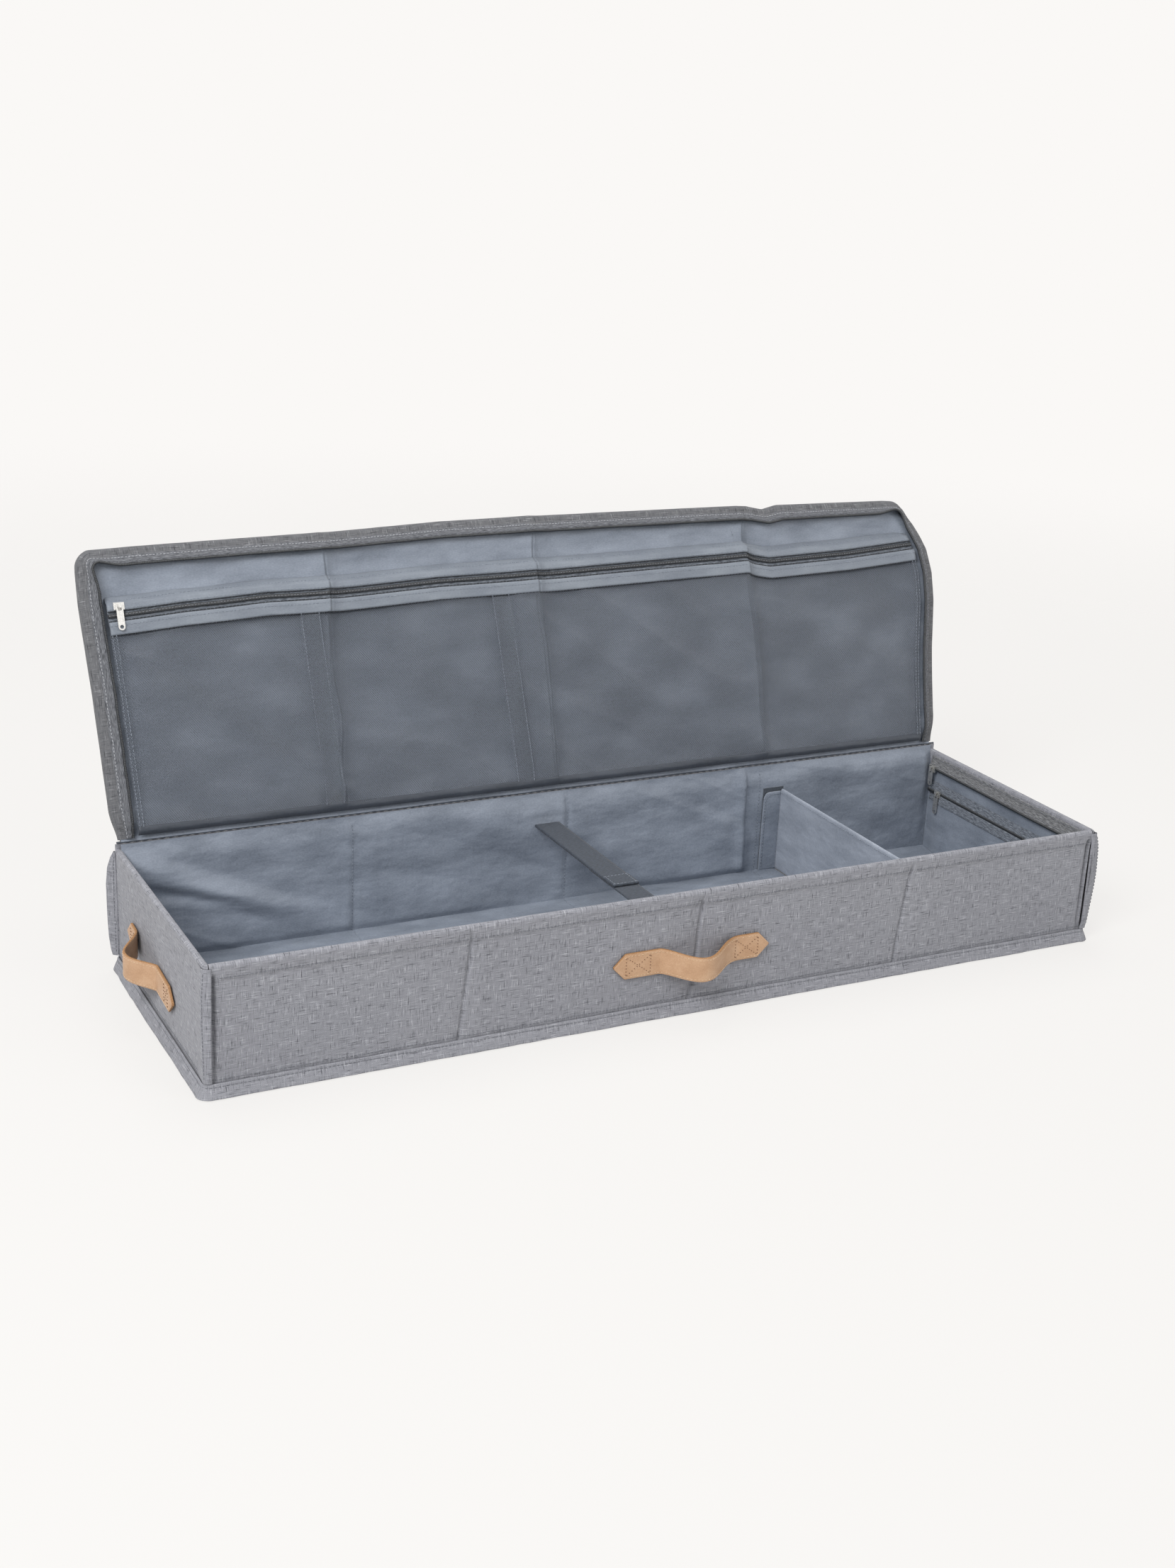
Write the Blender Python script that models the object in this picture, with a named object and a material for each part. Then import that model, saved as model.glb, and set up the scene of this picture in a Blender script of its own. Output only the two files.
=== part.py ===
"""Fabric gift wrap organizer with a hinged zip lid, built empty with its lid standing open.

Metres, +Z up. X runs along the long side, the front wall faces -Y and the lid is hinged at the rear.
The origin is on the underside, below the middle of the box.
"""
import math

import bmesh
import bpy
from mathutils import Matrix, Vector

MM = 0.001

# Overall box
LENGTH = 1000 * MM
DEPTH = 300 * MM
HEIGHT = 130 * MM

# Cloth, board and the space that is left between touching pieces
FABRIC = 1.2 * MM
LINING = 0.8 * MM
BOARD = 2.5 * MM
GAP = 0.3 * MM
BOARD_COUNT = 4
CREASE = 3 * MM
SCORE_WEB = 0.6 * MM
OVERRUN = 2 * MM
FOLD_BAND = 22 * MM

# Layers of a wall, measured inwards from its outer face
BOARD_AT = FABRIC + GAP
LINING_AT = BOARD_AT + BOARD + GAP
LINING_FACE = LINING_AT + LINING
BAND_AT = LINING_FACE + GAP
WALL = BAND_AT + FABRIC
HALF_LENGTH = LENGTH / 2
HALF_DEPTH = DEPTH / 2
WALL_FOOT = FABRIC + GAP
WALL_LAYER_TOP = HEIGHT - FABRIC - GAP
FLOOR_LINING_AT = WALL_FOOT + BOARD + GAP
FLOOR_TOP = FLOOR_LINING_AT + LINING
BAND_FOOT = HEIGHT - FOLD_BAND

# Corner strips on the front, seam fins at the rear and the seam skirt around the foot
STRIP_WIDTH = 14 * MM
STRIP_THICK = 3.2 * MM
STRIP_DROP = 1 * MM
FIN_WIDTH = 12 * MM
FIN_THICK = 2.4 * MM
FIN_DROP = 12 * MM
SKIRT_HEIGHT = 14 * MM
SKIRT_THICK = 2.4 * MM
SKIRT_FLARE = 3.2 * MM
SKIRT_CLEAR = 0.7 * MM
SKIRT_SHORT = 8 * MM

# Zips: a woven tape that carries a coil
TAPE = 0.8 * MM
COIL_RADIUS = 1.25 * MM
COIL_SIDES = 8
CORNER_STEPS = 5
BASE_COIL_DROP = 20 * MM
BASE_COIL_OFF = 2.9 * MM
BASE_TAPE_WIDTH = 13 * MM
BASE_ZIP_CORNER = 14 * MM
BASE_ZIP_SHORT = 4 * MM

# Zip sliders and their pulls
SLIDER_LENGTH = 11 * MM
SLIDER_CHEEK = 2.2 * MM
SLIDER_FACE = 1.0 * MM
BRIDGE_LENGTH = 3 * MM
BRIDGE_BAR = 0.9 * MM
BRIDGE_WINDOW = 2.8 * MM
PULL_BAR = 1.2 * MM
PULL_CLEAR = 0.5 * MM
PULL_WIDTH = 7 * MM
PULL_SLOT = 4 * MM
PULL_SIDE_CLEAR = 0.4 * MM
PULL_HOLE_RADIUS = 2 * MM
MAIN_PULL_LENGTH = 21 * MM
POCKET_PULL_LENGTH = 25 * MM
MAIN_SLIDER_FROM_REAR = 17 * MM
PULL_END_STEPS = 10

# Leather handles
HANDLE_WIDTH = 27 * MM
HANDLE_THICK = 2.6 * MM
HANDLE_POINT = 13 * MM
HANDLE_POINT_WIDTH = 7 * MM
HANDLE_ARCH_STEPS = 12
FRONT_HANDLE_LEFT = -92 * MM
FRONT_HANDLE_RIGHT = 84 * MM
FRONT_HANDLE_Z = 62 * MM
FRONT_HANDLE_RISE = 25 * MM
FRONT_HANDLE_SAG = 4 * MM
FRONT_HANDLE_SEWN = 46 * MM
END_HANDLE_FRONT = -52 * MM
END_HANDLE_REAR = 98 * MM
END_HANDLE_Z = 58 * MM
END_HANDLE_RISE = 21 * MM
END_HANDLE_SAG = 2 * MM
END_HANDLE_SEWN = 16 * MM

# Divider board near the right end
DIVIDER_X = 281 * MM
DIVIDER_TOP = 106 * MM
DIVIDER_FLANGE = 27 * MM
DIVIDER_FLANGE_THICK = 1.8 * MM
DIVIDER_FLANGE_DROP = 3 * MM
DIVIDER_FLANGE_RADIUS = 8 * MM

# Holding strap across the roll compartment
STRAP_X = -25.5 * MM
STRAP_WIDTH = 29 * MM
STRAP_THICK = 1.2 * MM
STRAP_ROOT_Z = 100 * MM
STRAP_SAG = 0.5 * MM
STRAP_REAR_END = -48 * MM
STRAP_FRONT_END = 8 * MM
STRAP_FOLD = 26 * MM
STRAP_STEPS = 12

# Zipped pocket on the right end wall
POCKET_END_MARGIN = 10 * MM
POCKET_HALF = HALF_DEPTH - POCKET_END_MARGIN
POCKET_RAMP = 30 * MM
POCKET_OFF = 4.6 * MM
POCKET_TOP = 69 * MM
POCKET_TAPE_WIDTH = 5 * MM
POCKET_COIL_OFF = 3.5 * MM
POCKET_COIL_Z = 81.5 * MM
POCKET_UPPER_TAPE = 10 * MM
POCKET_SLIDER_FROM_END = 21 * MM

# Lid, laid out in its own frame: x along the box, v away from the hinge, n towards the lid's inside
LID_LEAN = math.radians(24.5)
LID_REACH = 300 * MM
HINGE_RISE = 6.5 * MM
HINGE_BEAD_RADIUS = 1.2 * MM
LID_EDGE_V = 3.5 * MM
LID_CORNER = 28 * MM
LID_LINING_AT = -LINING
LID_BOARD_AT = LID_LINING_AT - GAP - BOARD
LID_COVER_AT = LID_BOARD_AT - GAP - FABRIC
BORDER_START_V = 12 * MM
BORDER_TURN = 1.5 * MM
BORDER_TURN_IN = 2.7 * MM
BORDER_WIDTH = 8.5 * MM
BORDER_RISE = 4 * MM
LID_TAPE_WIDTH = 7.3 * MM
LID_TAPE_RISE = 5.3 * MM

# Mesh pocket inside the lid
MESH = 0.8 * MM
MESH_OFF = 8.2 * MM
MESH_SIDE_MARGIN = 23 * MM
MESH_HALF = HALF_LENGTH - MESH_SIDE_MARGIN
MESH_FOOT_V = 10.5 * MM
MESH_TOP_MARGIN = 83 * MM
MESH_TOP_V = LID_REACH - MESH_TOP_MARGIN
MESH_SEAM = 6 * MM
MESH_FOOT = 2.5 * MM
MESH_SEAM_LEFT_X = -270 * MM
MESH_SEAM_MIDDLE_X = -50 * MM
LID_POCKET_COIL_RISE = 18 * MM
LID_POCKET_TAPE_WIDTH = 9 * MM
LID_POCKET_HEM_DROP_V = 8.5 * MM
BINDING_WIDTH = 12 * MM
BINDING_LAP = 1.5 * MM
LID_POCKET_SLIDER_INSET = 4 * MM

HINGE_Y = HALF_DEPTH - FABRIC / 2
HINGE_Z = HEIGHT + HINGE_RISE
FLAP_TOP = HINGE_Z - HINGE_BEAD_RADIUS - GAP

# Slider sizes that follow from the coil
SLIDER_FOOT = TAPE / 2 + GAP
GROOVE = COIL_RADIUS + GAP
SLIDER_HALF = GROOVE + SLIDER_CHEEK
SLIDER_TOP = GROOVE + SLIDER_FACE
PULL_AXIS = SLIDER_TOP + PULL_CLEAR + PULL_BAR / 2
BRIDGE_INSIDE = PULL_AXIS + PULL_BAR / 2 + PULL_CLEAR

AXIS_X = Vector((1, 0, 0))
AXIS_Y = Vector((0, 1, 0))
AXIS_Z = Vector((0, 0, 1))


def new_collection(name):
    collection = bpy.data.collections.new(name)
    bpy.context.scene.collection.children.link(collection)
    return collection


def clear_scene():
    for obj in list(bpy.data.objects):
        bpy.data.objects.remove(obj, do_unlink=True)


def surface(name, hex_colour, roughness, metallic=0.0):
    """A plain Principled material from an sRGB hex colour."""
    def linear(value):
        return value / 12.92 if value <= 0.04045 else ((value + 0.055) / 1.055) ** 2.4
    channels = [linear(int(hex_colour[i:i + 2], 16) / 255) for i in (1, 3, 5)]
    made = bpy.data.materials.new(name)
    made.use_nodes = True
    shader = made.node_tree.nodes["Principled BSDF"]
    shader.inputs["Base Color"].default_value = (*channels, 1)
    shader.inputs["Roughness"].default_value = roughness
    shader.inputs["Metallic"].default_value = metallic
    return made


def add_object(name, mesh, look, frame=None, parent=None):
    """Link a mesh as a named part, placed by a matrix in its parent's frame."""
    obj = bpy.data.objects.new(name, mesh)
    PARTS.objects.link(obj)
    mesh.materials.append(SURFACES[look])
    if parent is not None:
        obj.parent = parent
    if frame is not None:
        obj.matrix_basis = frame
    return obj


def add_frame(name, origin, turn=0.0, parent=None):
    """An empty on a joint's axis, turned about X."""
    empty = bpy.data.objects.new(name, None)
    PARTS.objects.link(empty)
    empty.parent = parent
    empty.location = origin
    empty.rotation_euler = (turn, 0, 0)
    return empty


def axes_frame(origin, x_axis, y_axis):
    """Matrix of a right-handed frame from its origin and its first two axes."""
    z_axis = x_axis.cross(y_axis)
    columns = Matrix((x_axis, y_axis, z_axis)).transposed().to_4x4()
    return Matrix.Translation(origin) @ columns


def mesh_from_bmesh(name, bm):
    bmesh.ops.recalc_face_normals(bm, faces=bm.faces)
    mesh = bpy.data.meshes.new(name)
    bm.to_mesh(mesh)
    bm.free()
    return mesh


def box_mesh(name, corners, origin=(0, 0, 0)):
    """Mesh of boxes, each given as (low corner, high corner)."""
    bm = bmesh.new()
    for low, high in corners:
        size = [high[i] - low[i] for i in range(3)]
        middle = [(high[i] + low[i]) / 2 - origin[i] for i in range(3)]
        place = Matrix.Translation(middle) @ Matrix.Diagonal((*size, 1))
        bmesh.ops.create_cube(bm, size=1, matrix=place)
    return mesh_from_bmesh(name, bm)


def slab(name, low, high, look, parent=None, origin=(0, 0, 0)):
    """A box between two corners."""
    return add_object(name, box_mesh(name, [(low, high)], origin), look, Matrix.Translation(origin), parent)


def add_cutter(obj, mesh, operation, frame=None):
    """A Boolean on obj with a hidden helper that shares its parent."""
    helper = bpy.data.objects.new(obj.name + "_" + operation.lower(), mesh)
    CUTTERS.objects.link(helper)
    helper.parent = obj.parent
    if frame is not None:
        helper.matrix_basis = frame
    helper.hide_render = True
    helper.display_type = "WIRE"
    modifier = obj.modifiers.new(helper.name, "BOOLEAN")
    modifier.operation = operation
    modifier.object = helper


def score(board, half, low, high):
    """Cut the crease lines that let a board fold; low and high bound each groove in y and z."""
    pitch = 2 * half / BOARD_COUNT
    grooves = []
    for i in range(1, BOARD_COUNT):
        x = -half + i * pitch
        grooves.append(((x - CREASE / 2, *low), (x + CREASE / 2, *high)))
    add_cutter(board, box_mesh(board.name + "_scores", grooves), "DIFFERENCE")


def outline_mesh(name, outlines, thickness):
    """A flat 2D curve, filled and extruded, turned into a welded mesh."""
    curve = bpy.data.curves.new(name, "CURVE")
    curve.dimensions = "2D"
    curve.fill_mode = "BOTH"
    curve.extrude = thickness / 2
    for points in outlines:
        spline = curve.splines.new("POLY")
        spline.points.add(len(points) - 1)
        for point, (x, y) in zip(spline.points, points):
            point.co = (x, y, 0, 1)
        spline.use_cyclic_u = True
    guide = bpy.data.objects.new(name + "_guide", curve)
    bpy.context.scene.collection.objects.link(guide)
    depsgraph = bpy.context.evaluated_depsgraph_get()
    mesh = bpy.data.meshes.new_from_object(guide.evaluated_get(depsgraph))
    bm = bmesh.new()
    bm.from_mesh(mesh)
    bmesh.ops.remove_doubles(bm, verts=bm.verts, dist=GAP / 30)
    bmesh.ops.recalc_face_normals(bm, faces=bm.faces)
    bm.to_mesh(mesh)
    bm.free()
    mesh.name = name
    mesh.materials.clear()
    bpy.data.objects.remove(guide, do_unlink=True)
    return mesh


def along_x(name, profile, start, end, look, parent=None, origin=(0, 0, 0)):
    """Extrude a (y, z) outline along X."""
    points = [(y - origin[1], z - origin[2]) for y, z in profile]
    mesh = outline_mesh(name, [points], end - start)
    mesh.transform(axes_frame(Vector(((start + end) / 2 - origin[0], 0, 0)), AXIS_Y, AXIS_Z))
    return add_object(name, mesh, look, Matrix.Translation(origin), parent)


def along_y(name, profile, start, end, look, parent=None, origin=(0, 0, 0)):
    """Extrude an (x, z) outline along Y."""
    points = [(x - origin[0], z - origin[2]) for x, z in profile]
    mesh = outline_mesh(name, [points], end - start)
    mesh.transform(axes_frame(Vector((0, (start + end) / 2 - origin[1], 0)), AXIS_X, AXIS_Z))
    return add_object(name, mesh, look, Matrix.Translation(origin), parent)


def loft(bm, rings):
    """Join equal rings of points with quads and cap both ends."""
    rows = [[bm.verts.new(point) for point in ring] for ring in rings]
    count = len(rows[0])
    for lower, upper in zip(rows, rows[1:]):
        for i in range(count):
            j = (i + 1) % count
            bm.faces.new((lower[i], lower[j], upper[j], upper[i]))
    bm.faces.new(rows[0])
    bm.faces.new(rows[-1])


def ribbon_rings(path, half_widths, thickness, across):
    """Rectangular sections along a path; across is the direction of the ribbon's width."""
    rings = []
    for i, point in enumerate(path):
        before = path[max(i - 1, 0)]
        after = path[min(i + 1, len(path) - 1)]
        run = (after - before).normalized()
        normal = run.cross(across).normalized() * (thickness / 2)
        side = across * half_widths[i]
        rings.append([point + normal + side, point - normal + side,
                      point - normal - side, point + normal - side])
    return rings


def arc(cx, cy, radius, start, end, steps):
    """Points on an arc about (cx, cy), both ends included."""
    angles = [start + (end - start) * i / steps for i in range(steps + 1)]
    return [(cx + radius * math.cos(angle), cy + radius * math.sin(angle)) for angle in angles]


def u_path(half, reach, start, corner, inset):
    """Three sides of a rounded rectangle: up the left side, across at reach, down the right side."""
    points = [(-half + inset, start)]
    points += arc(-half + corner, reach - corner, corner - inset, math.pi, math.pi / 2, CORNER_STEPS)
    return points + [(-x, y) for x, y in reversed(points)]


def u_sweep(name, profile, half, reach, start, corner, sign, look, parent=None):
    """Sweep an (inset, height) profile along three sides; sign -1 puts the closed side at -Y."""
    bm = bmesh.new()
    paths = [u_path(half, reach, start, corner, inset) for inset, _ in profile]
    rings = []
    for station in range(len(paths[0])):
        rings.append([Vector((path[station][0], sign * path[station][1], height))
                      for path, (_, height) in zip(paths, profile)])
    loft(bm, rings)
    return add_object(name, mesh_from_bmesh(name, bm), look, None, parent)


def coil_profile(inset, height):
    """Round section of a zip coil as an (inset, height) outline."""
    turn = 2 * math.pi / COIL_SIDES
    return arc(inset, height, COIL_RADIUS, turn / 2, 2 * math.pi + turn / 2, COIL_SIDES)[:-1]


def fold_profile(flap_top=None):
    """Wall cover in section: outer cloth, turned over the board and down inside, as (inset, z)."""
    inside = [(WALL, HEIGHT), (WALL, BAND_FOOT), (BAND_AT, BAND_FOOT), (BAND_AT, HEIGHT - FABRIC),
              (FABRIC, HEIGHT - FABRIC), (FABRIC, WALL_FOOT)]
    if flap_top is None:
        return [(0, WALL_FOOT), (0, HEIGHT)] + inside
    return [(0, WALL_FOOT), (0, flap_top), (FABRIC, flap_top), (FABRIC, HEIGHT)] + inside


def make_floor():
    half_x = HALF_LENGTH - LINING_FACE - GAP
    half_y = HALF_DEPTH - LINING_FACE - GAP
    slab("bottom_cover", (-HALF_LENGTH, -HALF_DEPTH, 0), (HALF_LENGTH, HALF_DEPTH, FABRIC), "cloth")
    board_top = WALL_FOOT + BOARD
    board = slab("bottom_board", (-half_x, -half_y, WALL_FOOT), (half_x, half_y, board_top), "board")
    score(board, half_x, (-half_y - OVERRUN, WALL_FOOT + SCORE_WEB), (half_y + OVERRUN, board_top + OVERRUN))
    slab("bottom_lining", (-half_x, -half_y, FLOOR_LINING_AT), (half_x, half_y, FLOOR_TOP), "lining")


def make_long_wall(name, sign, flap_top=None):
    """Front (sign -1) or rear (sign 1) wall between the end walls: cover, scored board and lining."""
    half = HALF_LENGTH - WALL - GAP
    profile = [(sign * (HALF_DEPTH - inset), z) for inset, z in fold_profile(flap_top)]
    along_x(name + "_cover", profile, -half, half, "cloth")
    board_back = BOARD_AT + BOARD
    board_y = sorted(sign * (HALF_DEPTH - inset) for inset in (BOARD_AT, board_back))
    lining_y = sorted(sign * (HALF_DEPTH - inset) for inset in (LINING_AT, LINING_FACE))
    groove_y = sorted(sign * (HALF_DEPTH - inset) for inset in (BOARD_AT + SCORE_WEB, board_back + OVERRUN))
    board = slab(name + "_board", (-half, board_y[0], WALL_FOOT), (half, board_y[1], WALL_LAYER_TOP), "board")
    score(board, half, (groove_y[0], WALL_FOOT - OVERRUN), (groove_y[1], WALL_LAYER_TOP + OVERRUN))
    slab(name + "_lining", (-half, lining_y[0], WALL_FOOT), (half, lining_y[1], WALL_LAYER_TOP), "lining")


def make_end_wall(name, sign):
    """Left (sign -1) or right (sign 1) wall over the full depth: cover, board and lining."""
    profile = [(sign * (HALF_LENGTH - inset), z) for inset, z in fold_profile()]
    along_y(name + "_cover", profile, -HALF_DEPTH, HALF_DEPTH, "cloth")
    half = HALF_DEPTH - FABRIC
    board_x = sorted(sign * (HALF_LENGTH - inset) for inset in (BOARD_AT, BOARD_AT + BOARD))
    lining_x = sorted(sign * (HALF_LENGTH - inset) for inset in (LINING_AT, LINING_FACE))
    slab(name + "_board", (board_x[0], -half, WALL_FOOT), (board_x[1], half, WALL_LAYER_TOP), "board")
    slab(name + "_lining", (lining_x[0], -half, WALL_FOOT), (lining_x[1], half, WALL_LAYER_TOP), "lining")


def make_corners():
    """Wrapped strips on the front face and flared seam fins at the rear corners."""
    foot = SKIRT_HEIGHT + GAP
    front_y = -HALF_DEPTH - GAP
    for side, sign in (("left", -1), ("right", 1)):
        edge = sorted((sign * HALF_LENGTH, sign * (HALF_LENGTH - STRIP_WIDTH)))
        slab("corner_strip_front_" + side,
             (edge[0], front_y - STRIP_THICK, foot), (edge[1], front_y, HEIGHT - STRIP_DROP), "cloth")
        fin = slab("corner_fin_rear_" + side,
                   (GAP, -FIN_THICK / 2, foot), (GAP + FIN_WIDTH, FIN_THICK / 2, HEIGHT - FIN_DROP), "cloth")
        fin.location = (sign * HALF_LENGTH, HALF_DEPTH, 0)
        fin.rotation_euler = (0, 0, math.pi / 2 - sign * math.pi / 4)


def make_skirt():
    """Seam allowance that stands out around the foot, open at the front right corner."""
    section = [(GAP, SKIRT_HEIGHT), (GAP + SKIRT_THICK, SKIRT_HEIGHT),
               (GAP + SKIRT_THICK + SKIRT_FLARE, SKIRT_CLEAR), (GAP + SKIRT_FLARE, SKIRT_CLEAR)]
    stations = [(HALF_LENGTH, -HALF_DEPTH, 1, 0), (HALF_LENGTH, HALF_DEPTH, 1, 1),
                (-HALF_LENGTH, HALF_DEPTH, -1, 1), (-HALF_LENGTH, -HALF_DEPTH, -1, -1),
                (HALF_LENGTH - SKIRT_SHORT, -HALF_DEPTH, 0, -1)]
    rings = [[Vector((x + across * out, y + along * out, z)) for out, z in section]
             for x, y, across, along in stations]
    bm = bmesh.new()
    loft(bm, rings)
    add_object("foot_skirt", mesh_from_bmesh("foot_skirt", bm), "cloth")


def make_base_zip():
    """Tape and coil on the inside of the rim, along the left end, the front and the right end."""
    half = HALF_LENGTH - WALL
    reach = HALF_DEPTH - WALL
    start = -(HALF_DEPTH - WALL - BASE_ZIP_SHORT)
    coil_z = HEIGHT - BASE_COIL_DROP
    tape_foot = coil_z + COIL_RADIUS + GAP
    tape_top = tape_foot + BASE_TAPE_WIDTH
    tape = [(GAP, tape_top), (GAP + TAPE, tape_top),
            (BASE_COIL_OFF + TAPE / 2, tape_foot), (BASE_COIL_OFF - TAPE / 2, tape_foot)]
    u_sweep("base_zip_tape", tape, half, reach, start, BASE_ZIP_CORNER, -1, "tape")
    coil = coil_profile(BASE_COIL_OFF, coil_z)
    u_sweep("base_zip_coil", coil, half, reach, start, BASE_ZIP_CORNER, -1, "coil")


def make_slider(name, frame, pull_length, parent=None):
    """A zip slider over its coil: local x is its travel, the pull hangs towards -y, z faces out."""
    channel = [(-SLIDER_HALF, SLIDER_FOOT), (-GROOVE, SLIDER_FOOT), (-GROOVE, GROOVE),
               (GROOVE, GROOVE), (GROOVE, SLIDER_FOOT), (SLIDER_HALF, SLIDER_FOOT),
               (SLIDER_HALF, SLIDER_TOP), (-SLIDER_HALF, SLIDER_TOP)]
    body = outline_mesh(name, [channel], SLIDER_LENGTH)
    window = BRIDGE_WINDOW / 2
    outside = window + BRIDGE_BAR
    sunk = GROOVE + SLIDER_FACE / 2
    bridge = [(-outside, sunk), (-window, sunk), (-window, BRIDGE_INSIDE),
              (window, BRIDGE_INSIDE), (window, sunk), (outside, sunk),
              (outside, BRIDGE_INSIDE + BRIDGE_BAR), (-outside, BRIDGE_INSIDE + BRIDGE_BAR)]
    arch = outline_mesh(name + "_bridge", [bridge], BRIDGE_LENGTH)
    turned = axes_frame(Vector((0, 0, 0)), AXIS_Y, AXIS_Z)
    body.transform(turned)
    arch.transform(turned)
    slider = add_object(name, body, "nickel", frame, parent)
    add_cutter(slider, arch, "UNION", frame)
    make_pull(name.replace("slider", "pull"), frame, pull_length, parent)


def make_pull(name, frame, length, parent):
    """Pull tab with a slot around the slider's bridge and a finger hole at its end."""
    half = PULL_WIDTH / 2
    end_y = -length + half
    rim = [(half, PULL_BAR / 2), (-half, PULL_BAR / 2)]
    rim += arc(0, end_y, half, math.pi, 2 * math.pi, PULL_END_STEPS)
    slot_half = BRIDGE_LENGTH / 2 + PULL_SIDE_CLEAR
    slot = [(-slot_half, -PULL_BAR / 2), (slot_half, -PULL_BAR / 2),
            (slot_half, -PULL_BAR / 2 - PULL_SLOT), (-slot_half, -PULL_BAR / 2 - PULL_SLOT)]
    hole = arc(0, end_y, PULL_HOLE_RADIUS, 0, 2 * math.pi, PULL_END_STEPS)[:-1]
    mesh = outline_mesh(name, [rim, slot, hole], PULL_BAR)
    add_object(name, mesh, "nickel", frame @ Matrix.Translation((0, 0, PULL_AXIS)), parent)


def make_main_sliders():
    """One slider at each rear corner, on the base coil."""
    coil_x = HALF_LENGTH - WALL - BASE_COIL_OFF
    slider_y = HALF_DEPTH - MAIN_SLIDER_FROM_REAR
    coil_z = HEIGHT - BASE_COIL_DROP
    for side, sign in (("left", -1), ("right", 1)):
        frame = axes_frame(Vector((sign * coil_x, slider_y, coil_z)), -sign * AXIS_Y, AXIS_Z)
        make_slider("main_slider_" + side, frame, MAIN_PULL_LENGTH)


def handle_path(start, end, sewn, rise, sag, standoff):
    """Points (along, out, drop) of a handle: flat, arched, then flat again."""
    low, high = start + sewn, end - sewn
    along = [start, start + HANDLE_POINT]
    points = [(a, standoff, 0) for a in along]
    for i in range(HANDLE_ARCH_STEPS + 1):
        share = i / HANDLE_ARCH_STEPS
        bow = math.sin(math.pi * share) ** 2
        points.append((low + (high - low) * share, standoff + rise * bow, -sag * bow))
    return points + [(a, standoff, 0) for a in (end - HANDLE_POINT, end)]


def make_handle(name, points, to_world):
    """A flat leather strap with pointed ends that arches off its wall."""
    path = [to_world(*point) for point in points]
    halves = [HANDLE_WIDTH / 2] * len(path)
    halves[0] = halves[-1] = HANDLE_POINT_WIDTH / 2
    bm = bmesh.new()
    loft(bm, ribbon_rings(path, halves, HANDLE_THICK, AXIS_Z))
    add_object(name, mesh_from_bmesh(name, bm), "leather")


def make_handles():
    standoff = GAP + HANDLE_THICK / 2
    front = handle_path(FRONT_HANDLE_LEFT, FRONT_HANDLE_RIGHT, FRONT_HANDLE_SEWN,
                        FRONT_HANDLE_RISE, FRONT_HANDLE_SAG, standoff)
    make_handle("front_handle", front,
                lambda along, out, drop: Vector((along, -HALF_DEPTH - out, FRONT_HANDLE_Z + drop)))
    end = handle_path(END_HANDLE_FRONT, END_HANDLE_REAR, END_HANDLE_SEWN,
                      END_HANDLE_RISE, END_HANDLE_SAG, standoff)
    for side, sign in (("left", -1), ("right", 1)):
        def on_end_wall(along, out, drop, sign=sign):
            return Vector((sign * (HALF_LENGTH + out), along, END_HANDLE_Z + drop))
        make_handle(side + "_handle", end, on_end_wall)


def make_divider():
    """Cloth-covered board with a hook flange, held to a loop strip on the rear wall."""
    foot = FLOOR_TOP + GAP
    half_slot = BOARD / 2 + GAP
    half_cover = half_slot + LINING
    front = -(HALF_DEPTH - WALL - BASE_COIL_OFF - COIL_RADIUS - GAP)
    loop_y = HALF_DEPTH - LINING_FACE - GAP
    flange_y = HALF_DEPTH - WALL - GAP
    panel_rear = flange_y - DIVIDER_FLANGE_THICK - GAP
    origin = (DIVIDER_X, 0, foot)
    section = [(DIVIDER_X - half_cover, foot), (DIVIDER_X - half_cover, DIVIDER_TOP),
               (DIVIDER_X + half_cover, DIVIDER_TOP), (DIVIDER_X + half_cover, foot),
               (DIVIDER_X + half_slot, foot), (DIVIDER_X + half_slot, DIVIDER_TOP - LINING),
               (DIVIDER_X - half_slot, DIVIDER_TOP - LINING), (DIVIDER_X - half_slot, foot)]
    along_y("divider_cover", section, front, panel_rear, "lining", origin=origin)
    slab("divider_board", (DIVIDER_X - BOARD / 2, front + LINING, foot),
         (DIVIDER_X + BOARD / 2, panel_rear - LINING, DIVIDER_TOP - LINING - GAP), "board", origin=origin)
    right = DIVIDER_X + half_cover
    left = right - DIVIDER_FLANGE
    top = DIVIDER_TOP - DIVIDER_FLANGE_DROP
    radius = DIVIDER_FLANGE_RADIUS
    face = [(left, foot), (right, foot), (right, top)]
    face += arc(left + radius, top - radius, radius, math.pi / 2, math.pi, CORNER_STEPS)
    along_y("divider_flange", face, flange_y - DIVIDER_FLANGE_THICK, flange_y, "lining", origin=origin)
    slab("divider_loop_strip", (left, flange_y + GAP, foot), (right, loop_y, BAND_FOOT - GAP), "loop")


def strap_height(y, root):
    return STRAP_ROOT_Z - STRAP_SAG * (1 - (y / root) ** 2)


def strap_profile(root, tip, offset, fold):
    """Outline (y, z) of one strap half: a sagging ribbon whose tip may be folded double."""
    low, high = [], []
    stations = [root + (tip - root) * i / STRAP_STEPS for i in range(STRAP_STEPS + 1)]
    fold_at = tip + math.copysign(STRAP_FOLD, root - tip)
    for y in stations:
        z = strap_height(y, root)
        low.append((y, z + offset))
        high.append((y, z + offset + STRAP_THICK))
    if fold:
        z_fold = strap_height(fold_at, root)
        kept = [point for point in high if (point[0] - fold_at) * (root - tip) > 0]
        high = kept + [(fold_at, z_fold + offset + STRAP_THICK), (fold_at, z_fold + offset + 2 * STRAP_THICK),
                       (tip, strap_height(tip, root) + offset + 2 * STRAP_THICK)]
    return low + high[::-1]


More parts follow.
